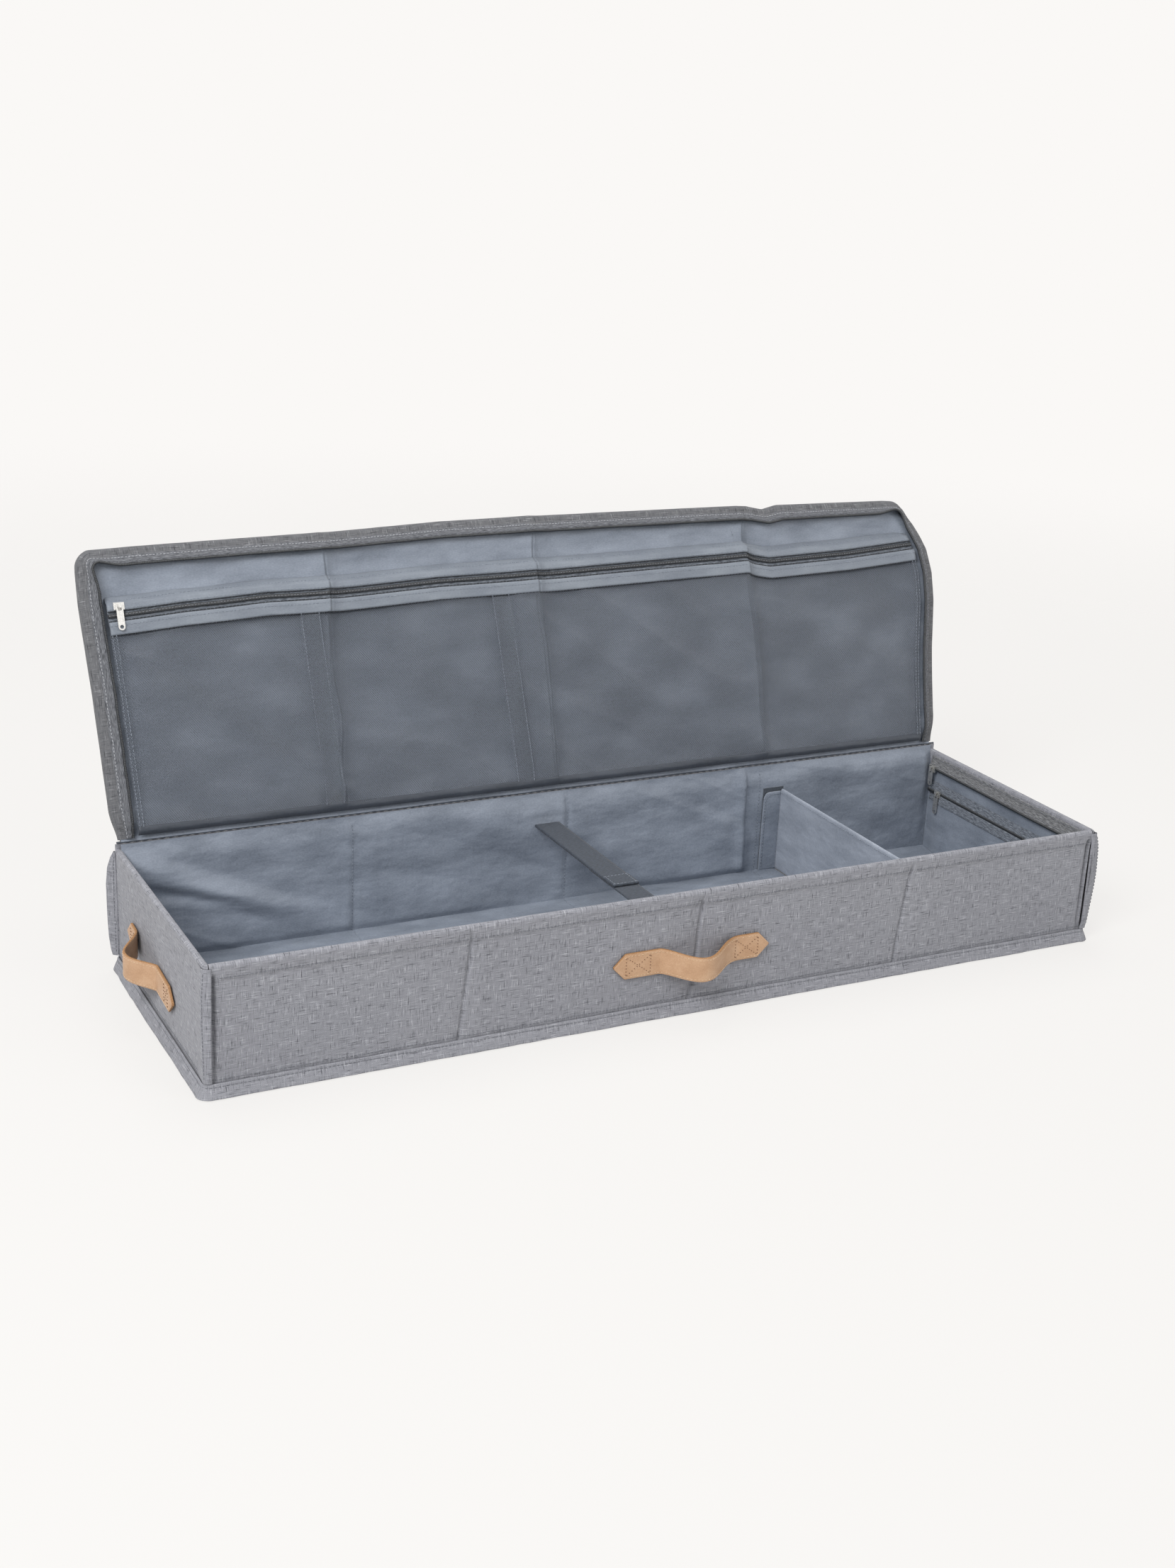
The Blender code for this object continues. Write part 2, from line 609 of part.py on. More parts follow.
def make_strap():
    """Two webbing halves sewn to the long walls; the rear half fastens on top of the front half."""
    root = HALF_DEPTH - LINING_FACE - GAP
    x0, x1 = STRAP_X - STRAP_WIDTH / 2, STRAP_X + STRAP_WIDTH / 2
    below = -GAP / 2 - STRAP_THICK
    along_x("strap_rear", strap_profile(root, STRAP_REAR_END, GAP / 2, True), x0, x1, "webbing",
            origin=(STRAP_X, root, STRAP_ROOT_Z - below))
    along_x("strap_front", strap_profile(-root, STRAP_FRONT_END, below, False), x0, x1, "webbing",
            origin=(STRAP_X, -root, STRAP_ROOT_Z + below))


def pocket_path(off, half, z):
    """Plan of the pocket's front: close to the wall at both ends and standing off between them."""
    wall_x = HALF_LENGTH - LINING_FACE
    near = GAP + LINING / 2
    ends = [(-half, near), (-half + POCKET_RAMP, off), (half - POCKET_RAMP, off), (half, near)]
    return [Vector((wall_x - out, y, z)) for y, out in ends]


def make_end_pocket():
    """Cloth pocket with its own zip on the right end wall, standing a little open."""
    foot = FLOOR_TOP + GAP
    middle = POCKET_OFF + LINING / 2
    tape_foot = POCKET_TOP + GAP
    for name, low, high, thickness, look in (
            ("end_pocket_panel", foot, POCKET_TOP, LINING, "lining"),
            ("end_pocket_lower_tape", tape_foot, tape_foot + POCKET_TAPE_WIDTH, TAPE, "tape")):
        path = pocket_path(middle, POCKET_HALF, (low + high) / 2)
        bm = bmesh.new()
        loft(bm, ribbon_rings(path, [(high - low) / 2] * len(path), thickness, AXIS_Z))
        add_object(name, mesh_from_bmesh(name, bm), look)
    wall_x = HALF_LENGTH - LINING_FACE
    upper_foot = POCKET_COIL_Z + COIL_RADIUS + GAP
    upper_top = upper_foot + POCKET_UPPER_TAPE
    coil_x = wall_x - POCKET_COIL_OFF
    section = [(wall_x - GAP, upper_top), (wall_x - GAP - TAPE, upper_top),
               (coil_x - TAPE / 2, upper_foot), (coil_x + TAPE / 2, upper_foot)]
    along_y("end_pocket_upper_tape", section, -POCKET_HALF, POCKET_HALF, "tape")
    coil = [(wall_x - inset, z) for inset, z in coil_profile(POCKET_COIL_OFF, POCKET_COIL_Z)]
    along_y("end_pocket_coil", coil, -POCKET_HALF, POCKET_HALF, "coil")
    slider_y = POCKET_HALF - POCKET_SLIDER_FROM_END
    frame = axes_frame(Vector((coil_x, slider_y, POCKET_COIL_Z)), -AXIS_Y, AXIS_Z)
    make_slider("end_pocket_slider", frame, POCKET_PULL_LENGTH)


def rounded_front(x0, x1, v0, v1, radius):
    """Outline (x, v) of a panel with two round outer corners."""
    right = arc(x1 - radius, v1 - radius, radius, 0, math.pi / 2, CORNER_STEPS)
    left = arc(x0 + radius, v1 - radius, radius, math.pi / 2, math.pi, CORNER_STEPS)
    return [(x0, v0), (x1, v0)] + right + left


def lid_plate(name, outline, low, high, look, parent):
    """Flat lid layer between two heights n, from its (x, v) outline."""
    mesh = outline_mesh(name, [outline], high - low)
    mesh.transform(Matrix.Translation((0, 0, (low + high) / 2)))
    return add_object(name, mesh, look, None, parent)


def make_lid_panel(lid):
    half = HALF_LENGTH
    inner = half - FABRIC
    corner = LID_CORNER - FABRIC
    reach = LID_REACH - FABRIC
    seam_edge = HINGE_BEAD_RADIUS + GAP
    cover = rounded_front(-half, half, LID_EDGE_V, LID_REACH, LID_CORNER)
    lid_plate("lid_cover", cover, LID_COVER_AT, LID_COVER_AT + FABRIC, "cloth", lid)
    board = lid_plate("lid_board", rounded_front(-inner, inner, LID_EDGE_V, reach, corner), LID_BOARD_AT,
                      LID_BOARD_AT + BOARD, "board", lid)
    score(board, inner, (LID_EDGE_V - OVERRUN, LID_BOARD_AT + SCORE_WEB),
          (reach + OVERRUN, LID_BOARD_AT + BOARD + OVERRUN))
    lining = rounded_front(-inner, inner, seam_edge, reach, corner)
    lid_plate("lid_lining", lining, LID_LINING_AT, 0, "lining", lid)
    bm = bmesh.new()
    turn = Matrix.Rotation(math.pi / 2, 4, "Y")
    bmesh.ops.create_cone(bm, cap_ends=True, segments=COIL_SIDES, radius1=HINGE_BEAD_RADIUS,
                          radius2=HINGE_BEAD_RADIUS, depth=2 * inner, matrix=turn)
    add_object("lid_hinge_seam", mesh_from_bmesh("lid_hinge_seam", bm), "cloth", None, lid)


def border_profile():
    """Border cloth in section as (inset, n): around the panel's edge, then sloping inwards."""
    out = -(GAP + FABRIC)
    edge_in = BORDER_TURN + BORDER_WIDTH
    edge_n = BORDER_TURN + BORDER_RISE
    outer = [(out, LID_COVER_AT), (out, 0), (out + BORDER_TURN_IN, BORDER_TURN + FABRIC),
             (edge_in, edge_n + FABRIC)]
    inner = [(edge_in, edge_n), (BORDER_TURN_IN, BORDER_TURN), (-GAP, 0), (-GAP, LID_COVER_AT)]
    return outer + inner


def border_ring(profile, half, v, sign):
    return [Vector((sign * (half - inset), v, n)) for inset, n in profile]


def make_lid_border(lid):
    """Border strips on the lid's three free sides; the front one takes both round corners."""
    profile = border_profile()
    inner_start = LID_REACH - LID_CORNER
    bm = bmesh.new()
    paths = [u_path(HALF_LENGTH, LID_REACH, inner_start, LID_CORNER, inset) for inset, _ in profile]
    rings = [[Vector((path[station][0], path[station][1], n)) for path, (_, n) in zip(paths, profile)]
             for station in range(1, len(paths[0]) - 1)]
    loft(bm, rings)
    add_object("lid_border_front", mesh_from_bmesh("lid_border_front", bm), "cloth", None, lid)
    for side, sign in (("left", -1), ("right", 1)):
        bm = bmesh.new()
        loft(bm, [border_ring(profile, HALF_LENGTH, v, sign) for v in (BORDER_START_V, inner_start - GAP)])
        name = "lid_border_" + side
        add_object(name, mesh_from_bmesh(name, bm), "cloth", None, lid)


def make_lid_zip(lid):
    """Tape and coil on the free edge of the lid's border."""
    at_in = BORDER_TURN + BORDER_WIDTH + GAP
    at_n = BORDER_TURN + BORDER_RISE + GAP
    end_in = at_in + LID_TAPE_WIDTH
    end_n = at_n + LID_TAPE_RISE
    tape = [(at_in, at_n), (at_in, at_n + TAPE), (end_in, end_n + TAPE), (end_in, end_n)]
    u_sweep("lid_zip_tape", tape, HALF_LENGTH, LID_REACH, BORDER_START_V, LID_CORNER, 1, "tape", lid)
    coil = coil_profile(end_in + GAP + COIL_RADIUS, end_n + TAPE / 2)
    u_sweep("lid_zip_coil", coil, HALF_LENGTH, LID_REACH, BORDER_START_V, LID_CORNER, 1, "coil", lid)


def seam_comb():
    """Outline (x, v) of the sewn seams under the mesh: the foot seam and four uprights."""
    foot_low = MESH_FOOT_V - MESH_FOOT / 2
    foot_high = MESH_FOOT_V + MESH_FOOT / 2
    points = [(-MESH_HALF, foot_low), (MESH_HALF, foot_low)]
    centres = (MESH_HALF - MESH_SEAM / 2, MESH_SEAM_MIDDLE_X, MESH_SEAM_LEFT_X, -MESH_HALF + MESH_SEAM / 2)
    for x in centres:
        right, left = x + MESH_SEAM / 2, x - MESH_SEAM / 2
        if right < MESH_HALF - GAP:
            points.append((right, foot_high))
        points += [(right, MESH_TOP_V), (left, MESH_TOP_V)]
        if left > -MESH_HALF + GAP:
            points.append((left, foot_high))
    return points


def make_mesh_pocket(lid):
    """Mesh front on sewn seams, with a zip, a binding strip and a hem along its upper edge."""
    low, high = MESH_OFF, MESH_OFF + MESH
    mesh_foot = MESH_FOOT_V - MESH_FOOT / 2
    slab("lid_mesh", (-MESH_HALF, mesh_foot, low), (MESH_HALF, MESH_TOP_V, high), "mesh", lid)
    lid_plate("lid_mesh_seams", seam_comb(), GAP, low - GAP, "mesh", lid)
    coil_v = MESH_TOP_V + LID_POCKET_COIL_RISE
    coil_n = high + GAP + COIL_RADIUS
    tape_top = coil_v + LID_POCKET_TAPE_WIDTH
    slab("lid_pocket_tape", (-MESH_HALF, MESH_TOP_V + GAP, low), (MESH_HALF, tape_top, high), "tape", lid)
    coil = [(coil_v - height, coil_n + inset) for inset, height in coil_profile(0, 0)]
    along_x("lid_pocket_coil", coil, -MESH_HALF, MESH_HALF, "coil", lid)
    binding_foot = MESH_TOP_V - BINDING_LAP
    slab("lid_pocket_binding", (-MESH_HALF, binding_foot, high + GAP),
         (MESH_HALF, binding_foot + BINDING_WIDTH, high + GAP + LINING), "lining", lid)
    hem_top = tape_top + GAP + LID_POCKET_HEM_DROP_V
    hem = [(tape_top + GAP, low), (tape_top + GAP, high), (hem_top, GAP + LINING), (hem_top, GAP)]
    along_x("lid_pocket_hem", hem, -MESH_HALF, MESH_HALF, "lining", lid)
    slider_x = -MESH_HALF + LID_POCKET_SLIDER_INSET + SLIDER_LENGTH / 2
    frame = axes_frame(Vector((slider_x, coil_v, coil_n)), AXIS_X, AXIS_Y)
    make_slider("lid_pocket_slider", frame, POCKET_PULL_LENGTH, lid)


clear_scene()
PARTS = new_collection("gift_wrap_organizer")
CUTTERS = new_collection("cutters")
SURFACES = {
    "cloth": surface("melange_cloth", "#8c8d93", 0.9),
    "lining": surface("lining_cloth", "#7f8794", 0.7),
    "board": surface("grey_board", "#8a8378", 0.9),
    "mesh": surface("pocket_mesh", "#59606b", 0.8),
    "tape": surface("zip_tape", "#6b6e6b", 0.85),
    "coil": surface("zip_coil", "#3c4040", 0.5),
    "nickel": surface("nickel_plate", "#cfcabc", 0.3, 1.0),
    "leather": surface("tan_leather", "#cda680", 0.6),
    "webbing": surface("strap_webbing", "#4f5862", 0.8),
    "loop": surface("loop_strip", "#454b54", 0.95),
}

make_floor()
make_long_wall("front", -1)
make_long_wall("rear", 1, FLAP_TOP)
make_end_wall("left", -1)
make_end_wall("right", 1)
make_corners()
make_skirt()
make_base_zip()
make_main_sliders()
make_handles()
make_divider()
make_strap()
make_end_pocket()

lid_frame = add_frame("lid_frame", (0, HINGE_Y, HINGE_Z), math.pi / 2 - LID_LEAN)
make_lid_panel(lid_frame)
make_lid_border(lid_frame)
make_lid_zip(lid_frame)
make_mesh_pocket(lid_frame)
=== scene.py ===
"""Gift wrap organizer: cloth, zips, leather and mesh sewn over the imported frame. Metres, +Z up."""
import math

import bpy
import numpy as np
from mathutils import Matrix, Vector


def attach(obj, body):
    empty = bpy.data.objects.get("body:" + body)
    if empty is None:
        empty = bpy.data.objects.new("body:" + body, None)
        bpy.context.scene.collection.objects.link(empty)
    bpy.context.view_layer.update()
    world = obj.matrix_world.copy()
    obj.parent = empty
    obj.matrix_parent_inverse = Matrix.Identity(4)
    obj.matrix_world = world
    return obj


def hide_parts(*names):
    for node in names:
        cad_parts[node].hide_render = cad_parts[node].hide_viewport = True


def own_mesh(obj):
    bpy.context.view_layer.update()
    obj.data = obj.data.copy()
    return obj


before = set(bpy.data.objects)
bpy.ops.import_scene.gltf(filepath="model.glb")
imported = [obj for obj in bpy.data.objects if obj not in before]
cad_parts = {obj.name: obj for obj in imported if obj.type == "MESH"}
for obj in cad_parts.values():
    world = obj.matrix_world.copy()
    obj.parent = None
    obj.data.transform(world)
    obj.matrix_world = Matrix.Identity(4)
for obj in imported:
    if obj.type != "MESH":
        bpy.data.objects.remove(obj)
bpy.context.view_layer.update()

MM = 0.001
HALF_LENGTH = 500 * MM
HALF_DEPTH = 150 * MM
HEIGHT = 130 * MM
QUARTERS = (-0.25, 0.0, 0.25)
LEAN = math.radians(24.5)
HINGE_Y = 149.4 * MM
HINGE_Z = 136.5 * MM
LID_REACH = 300 * MM


# Shaping tools


def tidy_step(t):
    """Smooth step from 0 to 1."""
    t = np.clip(t, 0.0, 1.0)
    return t * t * (3.0 - 2.0 * t)


def hills(across, along, seed):
    """Soft hills and hollows between -1 and 1, about one for each unit across and along."""
    table = np.random.default_rng(seed).uniform(-1.0, 1.0, (64, 64))
    across, along = np.broadcast_arrays(np.asarray(across, float), np.asarray(along, float))
    i, j = np.floor(across).astype(int), np.floor(along).astype(int)
    s, t = tidy_step(across - i), tidy_step(along - j)
    low = table[i % 64, j % 64] * (1 - s) + table[(i + 1) % 64, j % 64] * s
    high = table[i % 64, (j + 1) % 64] * (1 - s) + table[(i + 1) % 64, (j + 1) % 64] * s
    return low * (1 - t) + high * t


def near(value, centre, reach):
    """1 at centre, falling softly to 0 at reach either side."""
    return tidy_step(1.0 - np.abs(value - centre) / reach)


def facing(points):
    """Unit normals of a grid of points."""
    down = np.gradient(points, axis=0)
    over = np.gradient(points, axis=1)
    normal = np.cross(down, over)
    return normal / np.maximum(np.linalg.norm(normal, axis=2, keepdims=True), 1e-12)


def spaced_along(points):
    """Distance run along each column of a grid, from its first row."""
    steps = np.linalg.norm(np.diff(points, axis=0), axis=2).mean(axis=1)
    return np.concatenate([[0.0], np.cumsum(steps)])


def run_of(line):
    """Running length at each point of a line."""
    return np.concatenate([[0.0], np.cumsum(np.linalg.norm(np.diff(line, axis=0), axis=1))])


def grid_of(down, over):
    """Two coordinates spread over a grid, the first one down its rows."""
    return np.meshgrid(down, over, indexing="ij")


def quads_of(grid):
    """The four corners of every square of a grid."""
    here, ahead = slice(None, -1), slice(1, None)
    return np.stack([grid[here, here], grid[ahead, here], grid[ahead, ahead], grid[here, ahead]], axis=2)


def even_line(line, step):
    """The points of a line at an even spacing, with its running length."""
    line = np.asarray(line, float)
    run = run_of(line)
    count = max(int(round(run[-1] / step)), 2)
    at = np.linspace(0.0, run[-1], count + 1)
    return np.stack([np.interp(at, run, line[:, k]) for k in range(3)], axis=1), at


def crowded(low, high, step, places, reach):
    """Stations from low to high, four times closer together near the given places."""
    lines = [np.linspace(low, high, int((high - low) / step) + 1)]
    lines += [np.arange(max(p - reach, low), min(p + reach, high), step / 4) for p in places]
    stations = np.unique(np.round(np.concatenate(lines), 7))
    return stations[np.concatenate([[True], np.diff(stations) > step / 9])]


def make_piece(name, points, faces, finish, body, stands_for=(), slot=None, cloth=None):
    """A mesh piece from its points and faces, with its cloth coordinates, riding on its body."""
    mesh = bpy.data.meshes.new(name)
    mesh.from_pydata(np.asarray(points, float).tolist(), [], faces)
    mesh.materials.append(finish)
    if cloth is not None:
        layer = mesh.uv_layers.new(name="thread")
        layer.data.foreach_set("uv", np.asarray(cloth, np.float32).ravel())
    mesh.validate()
    mesh.shade_smooth()
    piece = bpy.data.objects.new(name, mesh)
    bpy.context.scene.collection.objects.link(piece)
    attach(piece, body)
    if stands_for:
        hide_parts(*stands_for)
    return piece


def grid_piece(name, points, finish, body, stands_for=(), slot=None, cloth=None, ring=False,
               caps=False, cut=None):
    """Cloth laid over a grid of points; ring joins the last column to the first, and cut marks the
    places that are cut away."""
    rows, columns = points.shape[:2]
    if cloth is None:
        along = spaced_along(points)
        over = spaced_along(points.transpose(1, 0, 2))
        cloth = np.stack(grid_of(along, over), axis=2)
    index = np.arange(rows * columns).reshape(rows, columns)
    if ring:
        index = np.concatenate([index, index[:, :1]], axis=1)
        step = np.linalg.norm(points[:, -1] - points[:, 0], axis=1).mean()
        last = cloth[:, -1:].copy()
        last[..., 1] += step
        cloth = np.concatenate([cloth, last], axis=1)
    faces = quads_of(index).reshape(-1, 4)
    corner_cloth = quads_of(cloth).reshape(-1, 2)
    if cut is not None:
        whole = ~(cut[:-1, :-1] | cut[1:, 1:]).ravel()
        faces = faces[whole]
        corner_cloth = corner_cloth.reshape(-1, 4, 2)[whole].reshape(-1, 2)
    faces = faces.tolist()
    if ring and caps:
        for row in (0, rows - 1):
            faces.append(index[row, :-1].tolist()[::-1 if row else 1])
            corner_cloth = np.concatenate([corner_cloth, cloth[row, :-1]])
    return make_piece(name, points.reshape(-1, 3), faces, finish, body, stands_for, slot, corner_cloth)


def thicken(piece, thickness, offset=-1.0):
    """Give a cloth its thickness, on the side away from its face."""
    layer = piece.modifiers.new("thickness", "SOLIDIFY")
    layer.thickness = thickness
    layer.offset = offset
    return piece


def fine_profile(corners, step, rounding=0):
    """A polyline through corners with even steps, its bends eased by rounding passes."""
    line = np.array([(x, y, 0.0) for x, y in corners], float)
    line, _ = even_line(line, step)
    for _ in range(rounding):
        line[1:-1] = (line[:-2] + 2 * line[1:-1] + line[2:]) / 4
    return line[:, :2]


def sew(name, lines, thread, body, length=3.0 * MM, gap=1.0 * MM, radius=0.32 * MM):
    """Real stitches along lines of (points, normals): short threads that dip in at both ends."""
    turn = np.linspace(0, 2 * math.pi, 6)[:-1]
    reach = np.array([-0.5, -0.4, 0.0, 0.4, 0.5])
    girth = np.array([0.35, 0.9, 1.0, 0.9, 0.35])
    lift = np.array([-0.7, 0.2, 0.55, 0.2, -0.7])
    points, faces, first = [], [], 0
    for line, normals in lines:
        even, _ = even_line(line, length + gap)
        source = run_of(line)
        at = np.linspace(0.0, source[-1], len(even))
        up = np.stack([np.interp(at, source, normals[:, k]) for k in range(3)], axis=1)
        middle, run = (even[:-1] + even[1:]) / 2, even[1:] - even[:-1]
        run /= np.maximum(np.linalg.norm(run, axis=1, keepdims=True), 1e-9)
        up = (up[:-1] + up[1:]) / 2
        up -= run * (up * run).sum(axis=1, keepdims=True)
        up /= np.maximum(np.linalg.norm(up, axis=1, keepdims=True), 1e-9)
        side = np.cross(run, up)
        centre = (middle[:, None] + run[:, None] * (reach * length)[None, :, None]
                  + up[:, None] * (lift * radius)[None, :, None])
        round_it = (up[:, None, None] * np.cos(turn)[None, None, :, None]
                    + side[:, None, None] * np.sin(turn)[None, None, :, None])
        rings = centre[:, :, None] + round_it * (girth * radius)[None, :, None, None]
        count = len(rings)
        points.append(rings.reshape(-1, 3))
        index = first + np.arange(count * 25).reshape(count, 5, 5)
        turned = np.roll(index, -1, axis=2)
        quads = np.stack([index[:, :-1], turned[:, :-1], turned[:, 1:], index[:, 1:]], axis=3)
        faces += quads.reshape(-1, 4).tolist()
        faces += index[:, 0, ::-1].tolist() + index[:, -1].tolist()
        first += count * 25
    return make_piece(name, np.concatenate(points), faces, thread, body)


# Finishes


def linear(code, alpha=1.0):
    """An sRGB hex colour as linear light."""
    parts = [int(code[i:i + 2], 16) / 255 for i in (1, 3, 5)]
    return tuple(p / 12.92 if p <= 0.04045 else ((p + 0.055) / 1.055) ** 2.4 for p in parts) + (alpha,)


def add(tree, kind, settings=None, links=None):
    """Add one node with its settings and links."""
    node = tree.nodes.new(kind)
    for key, value in (settings or {}).items():
        if isinstance(key, str) and hasattr(node, key):
            setattr(node, key, value)
        else:
            node.inputs[key].default_value = value
    for key, socket in (links or {}).items():
        tree.links.new(socket, node.inputs[key])
    return node


def start_finish(name, roughness, metallic=0.0, sheen=0.0, specular=0.5):
    """A new material with its shader, and cloth coordinates in metres."""
    finish = bpy.data.materials.new(name)
    finish.use_nodes = True
    tree = finish.node_tree
    shader = tree.nodes["Principled BSDF"]
    shader.inputs["Roughness"].default_value = roughness
    shader.inputs["Metallic"].default_value = metallic
    shader.inputs["Sheen Weight"].default_value = sheen
    shader.inputs["Specular IOR Level"].default_value = specular
    return finish, tree, shader


def colour_steps(tree, factor, steps):
    """A colour ramp from (position, hex) steps."""
    ramp = add(tree, "ShaderNodeValToRGB", links={"Fac": factor})
    stops = ramp.color_ramp.elements
    stops[0].position, stops[0].color = steps[0][0], linear(steps[0][1])
    stops[1].position, stops[1].color = steps[-1][0], linear(steps[-1][1])
    for position, code in steps[1:-1]:
        stops.new(position).color = linear(code)
    return ramp.outputs["Color"]


def paint(tree, shader, value, steps):
    """Colour a shader by a value, through (position, hex) steps."""
    tree.links.new(colour_steps(tree, value, steps), shader.inputs["Base Color"])


def glossed(tree, shader, value, low, high):
    """Let a shader's roughness run from low to high with a value."""
    gloss = add(tree, "ShaderNodeMapRange", {"To Min": low, "To Max": high}, {"Value": value})
    tree.links.new(gloss.outputs[0], shader.inputs["Roughness"])


def stretched(tree, source, scale):
    """Coordinates scaled by (x, y, z), in patterns per metre."""
    return add(tree, "ShaderNodeMapping", {"Scale": scale}, {"Vector": source}).outputs["Vector"]


def patchy(tree, vector, scale, detail=2.0, roughness=0.5):
    """Fine noise at a number of patches per unit."""
    return add(tree, "ShaderNodeTexNoise", {"Scale": scale, "Detail": detail, "Roughness": roughness},
               {"Vector": vector}).outputs["Fac"]


def speckle(tree, source, scale, detail, roughness=0.5):
    """Noise with its patches counted per metre in x, y and z."""
    return patchy(tree, stretched(tree, source, scale), 1.0, detail, roughness)


def blend_of(tree, kind, a, b):
    """Sum, product or other operation of two values."""
    node = add(tree, "ShaderNodeMath", {"operation": kind})
    for index, value in enumerate((a, b)):
        if isinstance(value, (int, float)):
            node.inputs[index].default_value = value
        else:
            tree.links.new(value, node.inputs[index])
    return node.outputs[0]


def mix_of(tree, a, b, share):
    """Two values added in proportion, share of the first one."""
    return blend_of(tree, "ADD", blend_of(tree, "MULTIPLY", a, share),
                    blend_of(tree, "MULTIPLY", b, round(1.0 - share, 6)))


def raised(tree, shader, heights):
    """Bumps laid on each other from (height, millimetres deep) pairs."""
    normal = None
    for height, depth in heights:
        links = {"Height": height}
        if normal:
            links["Normal"] = normal
        settings = {"Distance": depth * MM, "Strength": 1.0}
        normal = add(tree, "ShaderNodeBump", settings, links).outputs["Normal"]
    tree.links.new(normal, shader.inputs["Normal"])


def woven(tree, source, pitch, rise=0.5):
    """Plain weave of threads: over and under, a thread every pitch millimetres both ways."""
    split = add(tree, "ShaderNodeSeparateXYZ", links={"Vector": source})
    turns = math.pi / (pitch * MM)
    waves = []
    for axis in ("X", "Y"):
        phase = blend_of(tree, "MULTIPLY", split.outputs[axis], turns)
        waves.append(blend_of(tree, "SINE", phase, 0.0))
    product = blend_of(tree, "MULTIPLY", waves[0], waves[1])
    return blend_of(tree, "ADD", blend_of(tree, "MULTIPLY", product, rise), rise)


def cloth_coordinates(tree):
    """Metres along and across the cloth, from its UV map."""
    return add(tree, "ShaderNodeUVMap", {"uv_map": "thread"}).outputs["UV"]


def solid_coordinates(tree):
    """Metres in the piece's own space."""
    return add(tree, "ShaderNodeTexCoord").outputs["Object"]


def slub_yarn(tree, threads, scale):
    """Odd threads of a melange cloth: near 0 on most yarns, up on light slubs, down on dark ones."""
    off = blend_of(tree, "SUBTRACT", speckle(tree, threads, scale, 1.5), 0.5)
    off = blend_of(tree, "MULTIPLY", off, 2.9)
    return blend_of(tree, "MULTIPLY", blend_of(tree, "MULTIPLY", off, off), off)


def melange_oxford(name, yarns):
    """Melange polyester oxford, woven from dark and light slub yarn: short light and dark dashes both
    ways, a dry matt face and a soft haze at the edges. Yarn is 0.6 mm, drawn at 0.9 so that it shows."""
    finish, tree, shader = start_finish(name, 0.88, sheen=0.12, specular=0.3)
    threads = cloth_coordinates(tree)
    weft = slub_yarn(tree, threads, (75, 980, 1))
    warp = slub_yarn(tree, threads, (980, 90, 1))
    fuzz = speckle(tree, threads, (1500, 1500, 1), 2.0)
    fuzz = blend_of(tree, "MULTIPLY", fuzz, 0.26)
    grain = blend_of(tree, "ADD", blend_of(tree, "ADD", weft, warp), blend_of(tree, "ADD", fuzz, 0.37))
    colour = colour_steps(tree, grain, list(zip((0.18, 0.42, 0.58, 0.84), yarns)))
    worn = speckle(tree, threads, (7, 7, 7), 3.0)
    shade = add(tree, "ShaderNodeMix", {"data_type": "RGBA", "blend_type": "MULTIPLY", "Factor": 0.3},
                {6: colour, 7: colour_steps(tree, worn, [(0.3, "#dcdce0"), (0.7, "#ffffff")])})
    tree.links.new(shade.outputs[2], shader.inputs["Base Color"])
    raised(tree, shader, [(woven(tree, threads, 0.9), 0.12), (grain, 0.22)])
    return finish


def lining_taffeta(name="lining_taffeta", dark="#69717d", light="#939ba8"):
    """Coated polyester taffeta lining: smooth and close woven, with a dull silky gloss and soft
    pulled wrinkles that catch the light."""
    finish, tree, shader = start_finish(name, 0.52, sheen=0.1, specular=0.45)
    threads = cloth_coordinates(tree)
    drawn = speckle(tree, threads, (16, 34, 1), 3.0, 0.55)
    fine = speckle(tree, threads, (420, 900, 1), 1.0)
    mixed = mix_of(tree, drawn, fine, 0.7)
    paint(tree, shader, mixed, [(0.3, dark), (0.7, light)])
    glossed(tree, shader, fine, 0.44, 0.62)
    creased = speckle(tree, threads, (55, 26, 1), 4.0, 0.6)
    raised(tree, shader, [(woven(tree, threads, 0.7), 0.04), (drawn, 3.4), (creased, 1.5)])
    return finish


def knitted_net(name="knitted_net", dark="#3c424b", light="#6e7581"):
    """Warp-knitted polyester net: a fine diagonal net of glossy yarn with open rhombic holes, a hole
    every 2.4 mm, through which the lining shows."""
    finish, tree, shader = start_finish(name, 0.40, sheen=0.2)
    threads = cloth_coordinates(tree)
    split = add(tree, "ShaderNodeSeparateXYZ", links={"Vector": threads})
    x, y = split.outputs["X"], split.outputs["Y"]
    turns = math.pi / (2.4 * MM)
    lines = []
    for lean in (0.72, -1.15):
        slope = blend_of(tree, "ADD", x, blend_of(tree, "MULTIPLY", y, lean))
        wave = blend_of(tree, "SINE", blend_of(tree, "MULTIPLY", slope, turns), 0.0)
        lines.append(blend_of(tree, "ABSOLUTE", wave, 0.0))
    hole = blend_of(tree, "MINIMUM", lines[0], lines[1])
    pulled = speckle(tree, threads, (13, 17, 1), 2.0)
    pulled = blend_of(tree, "MULTIPLY", blend_of(tree, "SUBTRACT", pulled, 0.48), 0.85)
    open_part = blend_of(tree, "ADD", hole, pulled)
    cover = add(tree, "ShaderNodeMapRange",
                {"From Min": 0.40, "From Max": 0.60, "To Min": 1.0, "To Max": 0.0}, {"Value": open_part})
    tree.links.new(cover.outputs[0], shader.inputs["Alpha"])
    yarn = speckle(tree, threads, (900, 900, 1), 1.0)
    paint(tree, shader, yarn, [(0.3, dark), (0.7, light)])
    raised(tree, shader, [(blend_of(tree, "SUBTRACT", 1.0, hole), 0.35)])
    return finish


